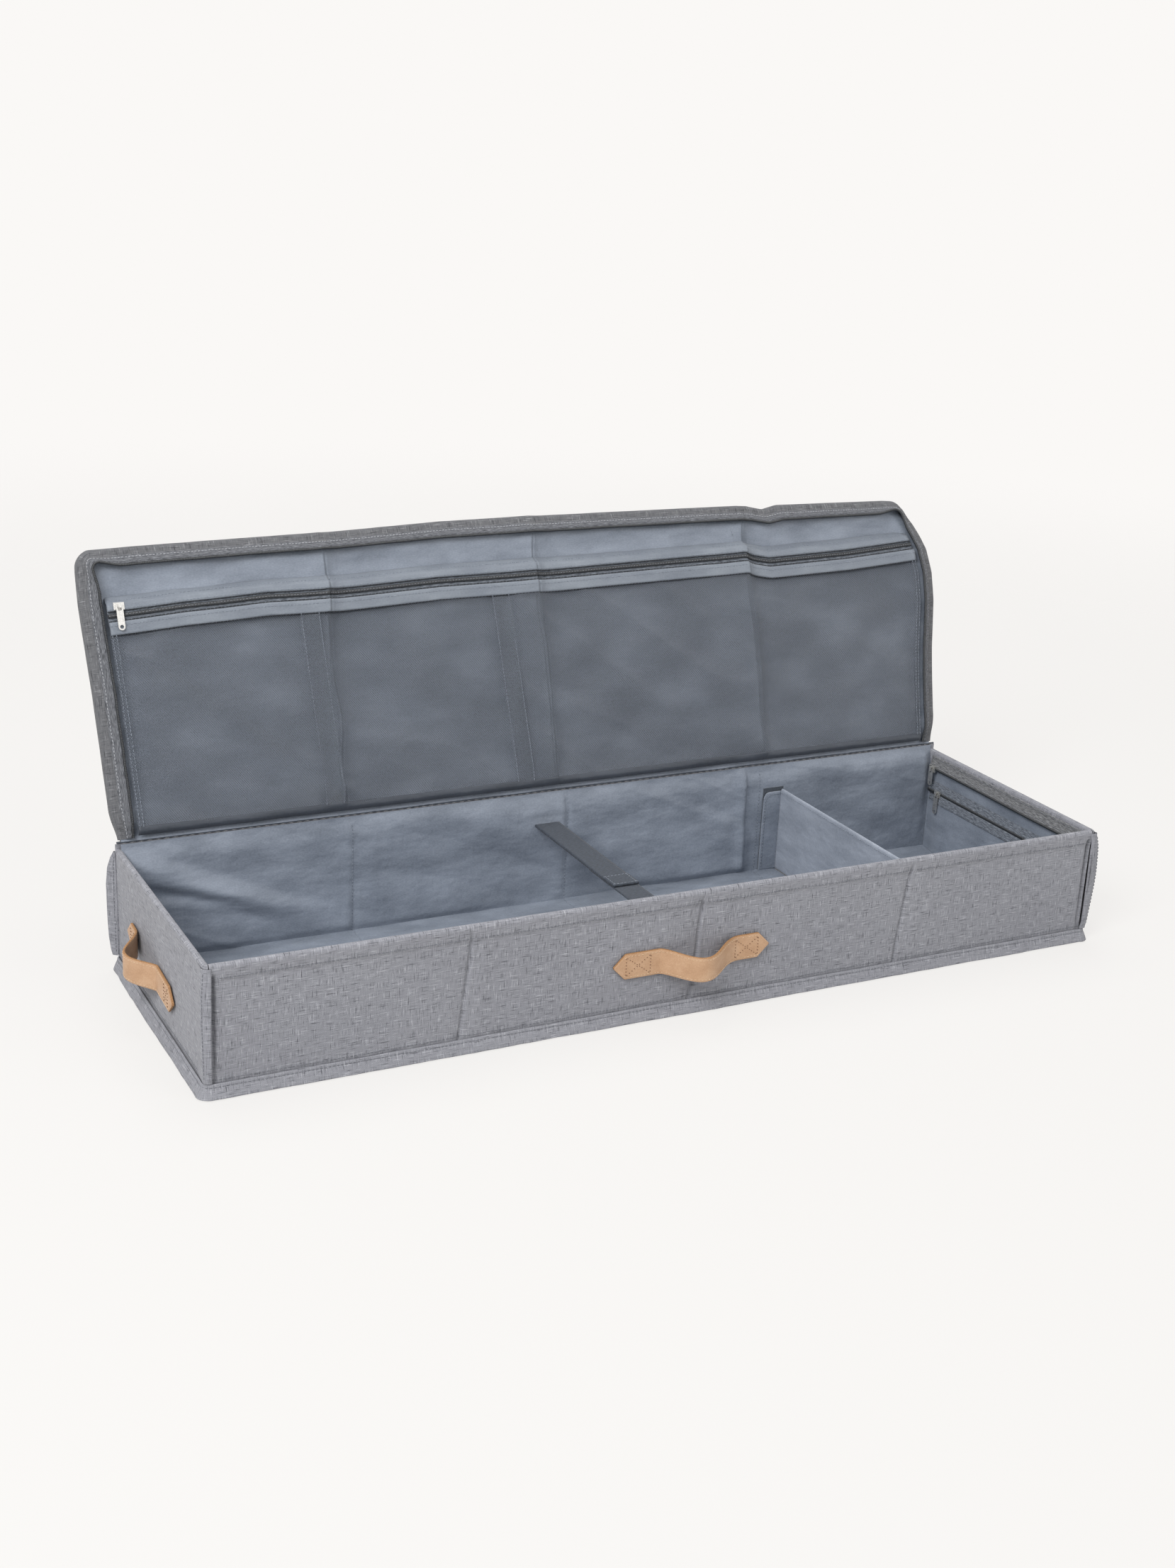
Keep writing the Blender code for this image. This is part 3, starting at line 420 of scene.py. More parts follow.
def zip_tape_weave(name, ribs):
    """Woven polyester zip tape: close ribs along its length and a dry matt face. The ribs are 0.5 mm,
    drawn at 0.9 mm so that they show."""
    finish, tree, shader = start_finish(name, 0.8, sheen=0.08, specular=0.3)
    threads = cloth_coordinates(tree)
    rib = speckle(tree, threads, (160, 1300, 1), 1.0)
    paint(tree, shader, rib, list(zip((0.35, 0.5, 0.68), ribs)))
    raised(tree, shader, [(woven(tree, threads, 0.9), 0.14), (rib, 0.2)])
    return finish


def nylon_coil():
    """Nylon zip coil, drawn smooth: dark, with a small bright line on every turn."""
    finish, tree, shader = start_finish("nylon_coil", 0.36)
    spot = patchy(tree, solid_coordinates(tree), 700.0, 2.0)
    paint(tree, shader, spot, [(0.3, "#17191b"), (0.7, "#33363a")])
    raised(tree, shader, [(spot, 0.05)])
    return finish


def nickel_plating():
    """Nickel-plated zinc, die cast and tumbled: bright grey metal with small rub marks."""
    finish, tree, shader = start_finish("nickel_plating", 0.48, metallic=1.0)
    place = solid_coordinates(tree)
    rub = speckle(tree, place, (900, 240, 900), 3.0)
    paint(tree, shader, rub, [(0.3, "#bebdba"), (0.7, "#dfdedb")])
    glossed(tree, shader, rub, 0.38, 0.58)
    raised(tree, shader, [(rub, 0.03)])
    return finish


def tan_leather():
    """Tan bonded leather with an embossed pebble grain of about 1 mm and a waxed face: the pebbles
    break the light."""
    finish, tree, shader = start_finish("tan_leather", 0.5, specular=0.45)
    hide = cloth_coordinates(tree)
    pebble = add(tree, "ShaderNodeTexVoronoi", {"feature": "F1", "Scale": 950.0}, {"Vector": hide})
    crackle = add(tree, "ShaderNodeTexVoronoi", {"feature": "DISTANCE_TO_EDGE", "Scale": 950.0},
                  {"Vector": hide})
    stain = speckle(tree, hide, (45, 60, 1), 4.0, 0.6)
    fleck = speckle(tree, hide, (700, 700, 1), 2.0)
    mixed = mix_of(tree, stain, fleck, 0.65)
    paint(tree, shader, mixed, [(0.3, "#ad8767"), (0.5, "#bd9878"), (0.7, "#cba98a")])
    glossed(tree, shader, fleck, 0.38, 0.58)
    raised(tree, shader, [(pebble.outputs["Distance"], 0.10), (crackle.outputs["Distance"], 0.10)])
    return finish


def leather_edge():
    """Cut and painted edge of the leather: browner, with short fibres."""
    finish, tree, shader = start_finish("leather_edge", 0.7)
    fibre = patchy(tree, solid_coordinates(tree), 900.0, 3.0)
    paint(tree, shader, fibre, [(0.3, "#8f6642"), (0.7, "#b48a60")])
    raised(tree, shader, [(fibre, 0.15)])
    return finish


def strap_webbing():
    """Woven polyester webbing: cross ribs every 1.4 mm and a flat slate face."""
    finish, tree, shader = start_finish("strap_webbing", 0.72, sheen=0.1)
    threads = cloth_coordinates(tree)
    split = add(tree, "ShaderNodeSeparateXYZ", links={"Vector": threads})
    phase = blend_of(tree, "MULTIPLY", split.outputs["X"], 2 * math.pi / (1.4 * MM))
    rib = blend_of(tree, "SINE", phase, 0.0)
    yarn = speckle(tree, threads, (1200, 260, 1), 1.0)
    shade = blend_of(tree, "ADD", blend_of(tree, "MULTIPLY", rib, 0.05), yarn)
    paint(tree, shader, shade, [(0.3, "#292e37"), (0.5, "#333a44"), (0.7, "#424a56")])
    raised(tree, shader, [(rib, 0.05), (yarn, 0.08)])
    return finish


def loop_pile():
    """Loop half of a hook and loop fastening: a low dark pile with no gloss."""
    finish, tree, shader = start_finish("loop_pile", 0.95, sheen=0.3, specular=0.2)
    pile = patchy(tree, solid_coordinates(tree), 1100.0, 4.0, 0.7)
    paint(tree, shader, pile, [(0.3, "#33383f"), (0.7, "#535a64")])
    raised(tree, shader, [(pile, 0.6)])
    return finish


def grey_board():
    """Pressed greyboard from waste paper: dull, with light and dark fibres of 1 to 3 mm."""
    finish, tree, shader = start_finish("grey_board", 0.92, specular=0.2)
    place = solid_coordinates(tree)
    fibre = speckle(tree, place, (260, 700, 700), 4.0, 0.7)
    paint(tree, shader, fibre, [(0.3, "#746d62"), (0.55, "#8a8378"), (0.75, "#a59e92")])
    raised(tree, shader, [(fibre, 0.12)])
    return finish


def sewing_thread(name, dark, light, gloss=0.5):
    """Polyester sewing thread, twisted: a fine slanting line on every stitch."""
    finish, tree, shader = start_finish(name, gloss, sheen=0.1)
    twist = patchy(tree, solid_coordinates(tree), 1600.0, 1.0)
    paint(tree, shader, twist, [(0.35, dark), (0.65, light)])
    raised(tree, shader, [(twist, 0.08)])
    return finish


CLOTH = melange_oxford("melange_oxford", ("#595a61", "#828389", "#9b9ca3", "#b7b8be"))
# A darker copy of the wall cloth for the lid's border: painted shade, since the border is the same cloth
# as the lid.
SHADED_BORDER_CLOTH = melange_oxford("melange_border_shaded", ("#3c3d40", "#595a5d", "#707174", "#929396"))
LINING = lining_taffeta()
BINDING = lining_taffeta("lining_binding", "#6b727d", "#899099")
# A lighter copy of the lining for the divider: painted light, for the key lamp falling on its left face.
LIT_DIVIDER_LINING = lining_taffeta("divider_lining_lit", "#838a96", "#a3aab6")
# Dark lining for the hinge piping and the net's foot tape: painted shadow lines where the lid meets the
# base and along the net's foot.
SEAM_SHADOW_LINING = lining_taffeta("hinge_seam", "#2f343c", "#454b55")
NET = knitted_net()
NET_DOUBLED = knitted_net("knitted_net_doubled", "#424851", "#757c88")
TAPE = zip_tape_weave("zip_tape_weave", ("#45474b", "#5f6166", "#7c7e83"))
RIM_TAPE = zip_tape_weave("zip_tape_melange", ("#5d5e60", "#77787a", "#959698"))
POCKET_TAPE = zip_tape_weave("zip_tape_slate", ("#535860", "#6c727b", "#8b919a"))
COIL = nylon_coil()
NICKEL = nickel_plating()
LEATHER = tan_leather()
LEATHER_EDGE = leather_edge()
WEBBING = strap_webbing()
LOOP = loop_pile()
BOARD = grey_board()
LIGHT_THREAD = sewing_thread("light_thread", "#8c8e93", "#b4b6ba")
GREY_THREAD = sewing_thread("grey_thread", "#5b5d64", "#7f828a")
SLATE_THREAD = sewing_thread("slate_thread", "#5d6571", "#9aa2ae")
# Black thread, also used for painted shade lines under the pocket's binding, tape and hem.
BLACK_THREAD_AND_SHADE = sewing_thread("black_thread_and_shade", "#1c1f23", "#33383f")
PALE_THREAD = sewing_thread("pale_thread", "#c9a983", "#e6d0b0")
BROWN_THREAD = sewing_thread("brown_thread", "#5f4128", "#7e5b3d")


# Base: walls, floor and corners


def wall_section(hem, flap=None):
    """Wall cloth from its foot, up the outside, over the rim and down inside, as (inset, z)."""
    outside = [(0.9, 1.0), (0.5, 2.0), (0.4, 112.0), (0.4, 113.6), (-hem, 115.0), (-hem, 126.2)]
    if flap:
        return np.array(outside[:4] + [(0.4, flap)]) * MM
    turns = np.linspace(0.15, math.pi - 0.15, 9)
    rim = [(3.3 - 3.6 * math.cos(a), 126.4 + 3.6 * math.sin(a)) for a in turns]
    inside = [(6.9, 125.0), (6.7, 109.2), (6.2, 108.3), (5.4, 108.2), (5.3, 109.5)]
    return np.array(outside + rim + inside) * MM


def long_wall_folds(x, z, seed):
    """How far a long wall's cloth stands out (or sinks, below 0) at its board's creases and hollows."""
    depth = 0.6 * hills(x / 0.09, z / 0.06, seed) + 0.3 * hills(x / 0.03, z / 0.05, seed + 1) - 0.8
    lean = (z - 0.065) * 0.12
    for centre, deep, wide in ((-0.25, 0.8, 0.012), (0.0, 1.4, 0.018), (0.25, 1.1, 0.014)):
        at = centre + lean + 0.004 * hills(z / 0.05, centre * 9, seed + 2)
        depth = depth - deep * near(x, at, wide) + 0.6 * near(x, at + wide * 1.3, wide)
        depth = depth - (1.3 + 1.0 * deep) * near(x, at, 0.0030) + 0.5 * near(x, at + 0.0045, 0.004)
    depth = np.maximum(depth, -4.3)
    open_slit = np.interp(z, [0.014, 0.03, 0.07, 0.118, 0.123], [1.0, 2.2, 3.6, 4.2, 0.0])
    depth = depth - open_slit * near(np.abs(x), 0.4912, 0.0036)
    pucker = 0.14 * np.sin(x / 0.0105 * 2 * math.pi) * near(z, 0.108, 0.012)
    return (depth + pucker) * MM


def end_swell(run, z, sign):
    """How far an end wall's cloth swells near its front corner; the right one shows it most."""
    swell = near(z, 0.080, 0.075) * tidy_step((run - 0.055) / 0.08) * tidy_step((0.129 - z) / 0.02)
    return (5.5 if sign > 0 else 1.5) * swell * MM


def end_wall_folds(run, z, seed, sign):
    """How far an end wall's cloth stands out, in soft hollows."""
    depth = 0.6 * hills(run / 0.07, z / 0.05, seed) + 0.25 * hills(run / 0.025, z / 0.03, seed + 1) - 0.7
    return depth * MM + end_swell(run, z, sign)


def on_front(run, inset, height):
    """Place along the front wall, inset from its face."""
    return np.stack([run, -HALF_DEPTH + inset, height], axis=-1)


def on_rear(run, inset, height):
    """Place along the rear wall, which runs the other way."""
    return np.stack([-run, HALF_DEPTH - inset, height], axis=-1)


def on_end(sign):
    """Place along an end wall and round the front corner, whose cloth has a 5 mm bend."""
    def place(run, inset, height):
        bend = 5 * MM
        straight = HALF_DEPTH - bend
        turn = np.clip((run - straight) / bend, 0.0, math.pi / 2)
        past = np.maximum(run - straight - bend * math.pi / 2, 0.0)
        radius = bend - inset
        y = np.where(run < straight, -run, -straight - radius * np.sin(turn))
        round_it = HALF_LENGTH - bend + radius * np.cos(turn) - past
        x = np.where(run < straight, HALF_LENGTH - inset, round_it)
        return np.stack([sign * x, y, height], axis=-1)
    return place


def wall_cloth(name, along, section, place, folds, stands_for, creases=()):
    """One wall's outer cloth: its section swept along the wall, sunk where it creases."""
    section = fine_profile(section, 2.0 * MM)
    stations = crowded(along[0], along[1], 3.0 * MM, creases, 0.016)
    run, inset = grid_of(stations, section[:, 0])
    height = np.broadcast_to(section[:, 1], inset.shape)
    outside = tidy_step((3.0 * MM - inset) / (2.0 * MM)) * tidy_step(height / 0.02)
    outside = outside * tidy_step((HEIGHT - 2 * MM - height) / 0.016)
    points = place(run, inset - folds(run, height) * outside, height)
    piece = grid_piece(name, points, CLOTH, "base", stands_for, "melange_cloth")

    def line_at(z, inner=False):
        """A sewing line at height z on the outer or inner face, with its normals."""
        side = section[:, 0] > 3.3 * MM if inner else section[:, 0] < 3.3 * MM
        column = int(np.argmin(np.abs(section[:, 1] - z) + np.where(side, 0.0, 1.0)))
        out = place(stations, np.full_like(stations, -0.01), np.full_like(stations, z))
        back = place(stations, np.zeros_like(stations), np.full_like(stations, z))
        up = (back - out if inner else out - back) / 0.01
        return points[:, column] + up * (0.15 * MM), up
    return line_at


def board_core(name, along, place, folds, node):
    """The wall's stiff board: panels that stop short of the deep creases, so that the cloth sinks."""
    stations = crowded(along[0], along[1], 4.0 * MM, QUARTERS, 0.016)
    run, height = grid_of(stations, np.linspace(3.0 * MM, 124.0 * MM, 24))
    deep = folds(run, height) * tidy_step((HEIGHT - 2 * MM - height) / 0.016)
    points = place(run, 2.1 * MM - np.clip(deep, -2.3 * MM, 0.0), height)
    piece = grid_piece(name, points, BOARD, "base", [node], "grey_board", cut=deep < -2.3 * MM)
    thicken(piece, 0.8 * MM, 0.0)


def base_walls():
    """Outer cloth of the four walls with the doubled hem round the rim, their boards and stitching."""
    hem = wall_section(0.5)
    half = HALF_LENGTH - 5.5 * MM

    def front_folds(run, z):
        return long_wall_folds(run, z, 11)

    def rear_folds(run, z):
        return long_wall_folds(-run, z, 31)

    front = wall_cloth("front_cloth", (-half, half), hem, on_front, front_folds, ["front_cover"],
                       (-0.491,) + QUARTERS + (0.491,))
    board_core("front_board_core", (-0.486, 0.486), on_front, front_folds, "front_board")
    rear = wall_cloth("rear_cloth", (-HALF_LENGTH, HALF_LENGTH), wall_section(0.5, 135.2), on_rear,
                      rear_folds, ["rear_cover"], QUARTERS)
    board_core("rear_board_core", (-0.49, 0.49), on_rear, rear_folds, "rear_board")
    hems = [front(116.6 * MM), front(110.8 * MM, True), rear(130.5 * MM)]
    feet = [front(16.6 * MM), rear(16.6 * MM)]
    for side, sign in (("left", -1), ("right", 1)):
        def end_folds(run, z, sign=sign):
            return end_wall_folds(run, z, 50 + sign, sign)

        end = wall_cloth(side + "_cloth", (-HALF_DEPTH, HALF_DEPTH + 2.6 * MM), wall_section(-0.3),
                         on_end(sign), end_folds, [side + "_cover"])
        board_core(side + "_board_core", (-0.148, HALF_DEPTH - 6 * MM), on_end(sign), end_folds,
                   side + "_board")
        hems.append(end(110.8 * MM, True))
        feet.append(end(16.6 * MM))
    sew("hem_stitches", hems, GREY_THREAD, "base")
    sew("foot_stitches", feet, GREY_THREAD, "base")
    run, over = grid_of(np.linspace(-0.4985, 0.4985, 200), np.linspace(-0.1485, 0.1485, 60))
    under = np.stack([run, over, 0.6 * MM + 0.5 * MM * (hills(run / 0.07, over / 0.07, 91) + 1)
                      - 0.5 * MM * near(np.abs(run), 0.25, 0.01)], axis=2)
    bottom = grid_piece("bottom_cloth", under, CLOTH, "base", ["bottom_cover"], "melange_cloth")


def base_corners():
    """Cloth strips wrapped round the front corners and folded seam fins at the rear ones."""
    heights = np.linspace(15.0 * MM, 127.0 * MM, 57)
    strips, fins = [], []
    bend = 5 * MM
    for side, sign in (("left", -1), ("right", 1)):
        turn = np.linspace(0.0, math.pi / 2, 12)
        out = np.interp(turn, [0.0, 0.5, 1.1, 1.571], [0.7, 1.5, 2.6, 3.2]) * MM
        x = HALF_LENGTH - bend + (bend + out) * np.cos(turn)
        y = -(HALF_DEPTH - bend) - (bend + out) * np.sin(turn)
        lead = np.linspace(17, 1, 9)
        x = np.concatenate([HALF_LENGTH + np.linspace(-0.6, 0.65, 9) * MM, x])
        x = np.concatenate([x, [0.4944, 0.4938, 0.4935, 0.4937, 0.4945]])
        y = np.concatenate([y[0] + lead * MM, y, [-0.1532, -0.1530, -0.1523, -0.1514, -0.1507]])
        reach = np.linspace(0, 1, len(x)) ** 2
        swollen = 1.0 - tidy_step((np.arange(len(x)) - 12.0) / 10.0)
        rows = []
        for z in heights:
            swell = 0.35 * MM * hills(z / 0.02, 3.0 + sign, 71)
            drawn = 1.8 * MM * near(z, 15 * MM, 9 * MM) + 2.4 * MM * near(z, 128 * MM, 12 * MM)
            stand = end_swell(-y, np.full(len(x), z), sign) * swollen
            aside = (0.6 * MM * math.sin(z / 0.03) - drawn * 0.3) * reach
            rows.append(np.stack([sign * (x + stand + aside), y + (drawn - swell) * reach,
                                  np.full(len(x), z)], axis=1))
        strip = np.array(rows)
        piece = grid_piece("front_corner_" + side, strip, CLOTH, "base", ["corner_strip_front_" + side],
                           "melange_cloth")
        up = np.array([sign * 0.55, -0.83, 0.0])
        strips.append((strip[2:-2, 14] + up * 0.2 * MM, np.tile(up, (len(heights) - 4, 1))))
        way = np.array([sign, 1.0, 0.0]) / math.sqrt(2)
        thick = np.array([-sign, 1.0, 0.0]) / math.sqrt(2)
        root = np.array([sign * HALF_LENGTH, HALF_DEPTH, 0.0])
        section = fine_profile(np.array([(-1.0, 1.1), (9.0, 1.3), (11.2, 1.1), (12.0, 0.0), (11.2, -1.1),
                                         (9.0, -1.3), (-1.0, -1.1)]) * MM, 1.0 * MM, 1)
        rows = []
        for z in np.linspace(14.6 * MM, 127.0 * MM, 64):
            reach = np.interp(z, [0.0146, 0.02, 0.034, 0.06, 0.09, 0.108, 0.12, 0.127],
                              [0.5, 0.66, 0.86, 1.0, 1.05, 0.9, 0.55, 0.2])
            bend = 1.2 * MM * math.sin(z / 0.04 + sign)
            rows.append([root + way * (p * reach) + thick * (q + bend * max(p, 0) / 0.012) + (0, 0, z)
                         for p, q in section])
        fin = np.array(rows)
        piece = grid_piece("rear_fin_" + side, fin, CLOTH, "base", ["corner_fin_rear_" + side],
                           "melange_cloth")
        for at, up in ((3, thick), (len(section) - 4, -thick)):
            fins.append((fin[2:-2, at] + up * 0.15 * MM, np.tile(up, (len(fin) - 4, 1))))
    sew("corner_stitches", strips + fins, GREY_THREAD, "base")


def base_skirt():
    """Seam allowance round the foot: a doubled band that flares out, with a stitched groove."""
    half_x, half_y = HALF_LENGTH, HALF_DEPTH
    line, normal = [], []
    corners = [(1, -1), (1, 1), (-1, 1), (-1, -1)]
    soft = 6 * MM
    for k, (sx, sy) in enumerate(corners):
        start = {0: -math.pi / 2, 1: 0.0, 2: math.pi / 2, 3: math.pi}[k]
        for a in np.linspace(start, start + math.pi / 2, 10):
            centre = np.array([sx * (half_x - soft), sy * (half_y - soft)])
            line.append(centre + soft * np.array([math.cos(a), math.sin(a)]))
            normal.append([math.cos(a), math.sin(a)])
        nx, ny = corners[(k + 1) % 4]
        ahead = np.array([nx * (half_x - soft), ny * (half_y - soft)])
        side = np.array([math.cos(start + math.pi / 2), math.sin(start + math.pi / 2)])
        stop = ahead + side * soft
        count = int(np.linalg.norm(stop - line[-1]) / (3 * MM))
        span = [line[-1] + (stop - line[-1]) * i / count for i in range(1, count)]
        line += span
        normal += [list(side)] * len(span)
    line, normal = np.array(line), np.array(normal)
    run = np.arange(len(line)) * 0.003
    profile = np.array([(0.2, 14.0), (1.0, 14.6), (1.9, 13.6), (2.3, 11.9), (2.0, 11.2), (3.2, 9.5),
                        (5.6, 4.0), (6.6, 1.2), (6.2, 0.8), (5.2, 1.5), (2.4, 7.0)]) * MM
    profile = fine_profile(profile, 0.9 * MM)
    flare = 1.0 + 0.16 * hills(run / 0.05, 0.5, 77) + 0.07 * hills(run / 0.012, 1.5, 78)
    out = 0.3 * MM + profile[None, :, 0] * flare[:, None]
    waves = 0.5 * MM * hills(run / 0.04, 2.5, 79)[:, None]
    up = profile[None, :, 1] + waves * (profile[None, :, 1] > 0.002)
    points = np.concatenate([line[:, None] + normal[:, None] * out[..., None],
                             np.maximum(up, 0.7 * MM)[..., None]], axis=2)
    points = np.concatenate([points, points[:1]], axis=0)
    piece = grid_piece("skirt_band", points, CLOTH, "base", ["foot_skirt"], "melange_cloth")
    column = int(np.argmin(np.abs(profile[:, 1] - 11.3 * MM)))
    up = np.concatenate([normal, np.full((len(normal), 1), 0.2)], axis=1)
    up = np.concatenate([up, up[:1]])
    sew("skirt_stitches", [(points[:, column] + up * 0.1 * MM, up)], GREY_THREAD, "base")


# Base: linings


def lining_wall(name, along, place, puff, node, top=108.8 * MM, inset=5.1 * MM, drop=None):
    """Lining on the inside of a wall; puff is how far it stands off, in millimetres."""
    low = 5.2 * MM
    stations = np.linspace(along[0], along[1], int((along[1] - along[0]) / (3.0 * MM)) + 1)
    levels = np.linspace(low, top, int((top - low) / (2.5 * MM)) + 1)
    run, height = grid_of(stations, levels)
    edge = tidy_step((run - along[0]) / 0.012) * tidy_step((along[1] - run) / 0.012)
    edge = edge * tidy_step((height - low) / 0.01) * tidy_step((top - height) / 0.01)
    away = inset + puff(run, height) * edge * MM
    if drop is not None:
        away = away + drop(height)
    points = place(run, away, height)
    piece = grid_piece(name, points, LINING, "base", [node], "lining_cloth")
    return points, stations


def quarter_seams(points, stations, lift):
    """The pale stitched seams that cross a long lining at its quarters."""
    lines = []
    for x in QUARTERS:
        row = int(np.argmin(np.abs(stations - x)))
        normal = facing(points)[row]
        if normal[:, 1].mean() * lift[1] + normal[:, 2].mean() * lift[2] < 0:
            normal = -normal
        lines.append((points[row] + normal * 0.2 * MM, normal))
    return lines


def base_linings():
    """Linings of the floor and the walls, drawn into soft wrinkles, with seams at the quarters."""
    def clear_of(x):
        """0 beside the divider and under its loop strip, where the linings lie flat; 1 elsewhere."""
        return 1.0 - tidy_step((0.036 - np.abs(x - 0.268)) / 0.012)

    def pulls(a, b, seed):
        """Crisp drawn folds: ridges where soft hills cross zero."""
        return (1 - np.minimum(np.abs(hills(a, b, seed)) * 2.2, 1.0)) ** 2

    def rear_puff(run, z):
        x = -run
        swoop = x + (z - 0.13) * 2.4 + 0.03 * hills(x / 0.15, 0.5, 20)
        soft = 4.2 * hills(swoop / 0.14, z / 0.15, 21) + 2.0 * pulls(swoop / 0.12, z / 0.2, 22)
        corner = sum(tall * near(z, top - (x + 0.49) * fall, wide) * tidy_step((-0.27 - x) / 0.12)
                     for tall, top, fall, wide in ((6.5, 0.114, 0.42, 0.020), (3.0, 0.098, 0.28, 0.012),
                                                   (2.2, 0.070, 0.14, 0.011)))
        seam = sum(near(x, q, 0.006) for q in QUARTERS)
        tug = sum(1.6 * near(x, q + 0.02, 0.014) * pulls(z / 0.03, q * 5, 23) for q in QUARTERS)
        fold = sum(tall * tidy_step((x - q + 0.016) / 0.014) * tidy_step((q - x) / 0.0022)
                   for q, tall in ((-0.25, 1.6), (0.0, 1.6), (0.232, 4.2)))
        return (np.maximum(soft + 1.6, 0.1) + corner + tug) * (1 - 0.9 * seam) * clear_of(x) + fold

    def end_puff(run, z):
        soft = (1.4 * hills((run + z * 0.8) / 0.07, z / 0.1, 24)
                + 0.7 * hills((run + z) / 0.03, z / 0.07, 25))
        return np.maximum(soft + 0.9, 0.0)

    def front_puff(run, z):
        soft = 1.3 * hills((run - z) / 0.1, z / 0.1, 27) + 0.8 * hills(run / 0.04, z / 0.09, 28)
        crease = sum(near(run, q, 0.008) for q in QUARTERS)
        return np.maximum(soft + 1.0, 0.0) * (1 - 0.8 * crease) * clear_of(run)

    def up_to_hinge(z):
        return -4.6 * MM * tidy_step((z - 0.113) / 0.0215)

    seams = []
    rear, at = lining_wall("rear_lining_cloth", (-0.4945, 0.4945), on_rear, rear_puff, "rear_lining",
                              top=134.6 * MM, inset=6.2 * MM, drop=up_to_hinge)
    seams += quarter_seams(rear[:, :-3], -at, (0, -1, 0))
    front, at = lining_wall("front_lining_cloth", (-0.4945, 0.4945), on_front, front_puff,
                            "front_lining")
    seams += quarter_seams(front, at, (0, 1, 0))
    lining_wall("left_lining_cloth", (-0.1445, 0.1445), on_end(-1), end_puff, "left_lining")
    lining_wall("right_lining_cloth", (-0.1445, 0.1445), on_end(1),
                lambda run, z: 0.15 * end_puff(run, z), "right_lining")
    run, over = grid_of(np.linspace(-0.4948, 0.4948, 320), np.linspace(-0.1448, 0.1448, 110))
    soft = (0.9 * hills(run / 0.09, over / 0.08, 41) + 0.6 * hills((run + over) / 0.035, over / 0.05, 42)
            + 0.9)
    crease = sum(near(run, q, 0.007) for q in QUARTERS) + near(run, 0.281, 0.02)
    height = 5.2 * MM + np.maximum(soft, 0) * (1 - 0.85 * np.minimum(crease, 1)) * MM
    height += 1.2 * MM * (1 - tidy_step((0.1448 - np.abs(over)) / 0.006))
    floor = np.stack([run, over, height], axis=2)
    piece = grid_piece("floor_lining_cloth", floor, LINING, "base", ["bottom_lining"], "lining_cloth")
    seams += quarter_seams(floor, run[:, 0], (0, 0, 1))
    sew("base_lining_stitches", seams, SLATE_THREAD, "base")


# Zips


def three_sides(half, reach, start, corner, step):
    """Stations up the left side, across at reach and down the right, as a function of the inset."""
    rise = np.linspace(0, 1, int((reach - corner - start) / step))
    bend_steps = np.linspace(0, 1, max(int(corner * 1.6 / step), 10))[1:] * math.pi / 2
    over = np.linspace(0, 1, int((half - corner) / step))[1:]

    def at(inset):
        bend = max(corner - inset, 3.5 * MM)
        side, top = -half + inset, reach - inset
        left = [np.full_like(rise, side), start + (top - bend - start) * rise]
        turn = [side + bend - bend * np.cos(bend_steps), top - bend + bend * np.sin(bend_steps)]
        across = [(side + bend) * (1 - over), np.full_like(over, top)]
        line = np.concatenate([left, turn, across], axis=1).T
        return np.concatenate([line, line[-2::-1] * (-1, 1)])

    normal = at(0.0) - at(1.0 * MM)
    normal /= np.linalg.norm(normal, axis=1, keepdims=True)
    return at, normal, run_of(at(0.0))


COIL_RADIUS = 1.35 * MM
COIL_PITCH = 1.7 * MM


def wind_coil(name, centre, up, body, stands_for, double=False):
    """Nylon coil along a line: a tube ribbed at every turn; a closed zip's two rows have a groove."""
    line, run = even_line(centre, COIL_PITCH / 4)
    source = run_of(centre)
    up = np.stack([np.interp(run, source, up[:, k]) for k in range(3)], axis=1)
    ahead = np.gradient(line, axis=0)
    ahead /= np.linalg.norm(ahead, axis=1, keepdims=True)
    side = np.cross(ahead, up)
    side /= np.linalg.norm(side, axis=1, keepdims=True)
    up = np.cross(side, ahead)
    turn = np.linspace(0, 2 * math.pi, 11)[:-1]
    rib = 1.0 + 0.22 * np.cos(run / COIL_PITCH * 2 * math.pi)
    wide = np.cos(turn) * (1.5 if double else 1.0)
    tall = np.sin(turn) * (1.0 - (0.45 * np.exp(-(np.cos(turn) / 0.35) ** 2) if double else 0.0))
    points = (line[:, None] + side[:, None] * (COIL_RADIUS * rib[:, None] * wide[None, :])[..., None]
              + up[:, None] * (COIL_RADIUS * rib[:, None] * tall[None, :])[..., None])
    return grid_piece(name, points, COIL, body, stands_for, "zip_coil", ring=True, caps=True)


def lay_tape(name, points, body, stands_for, finish=TAPE, slot="zip_tape"):
    """A zip tape or a binding, 0.7 mm thick."""
    return thicken(grid_piece(name, points, finish, body, stands_for, slot), 0.7 * MM, 0.0)


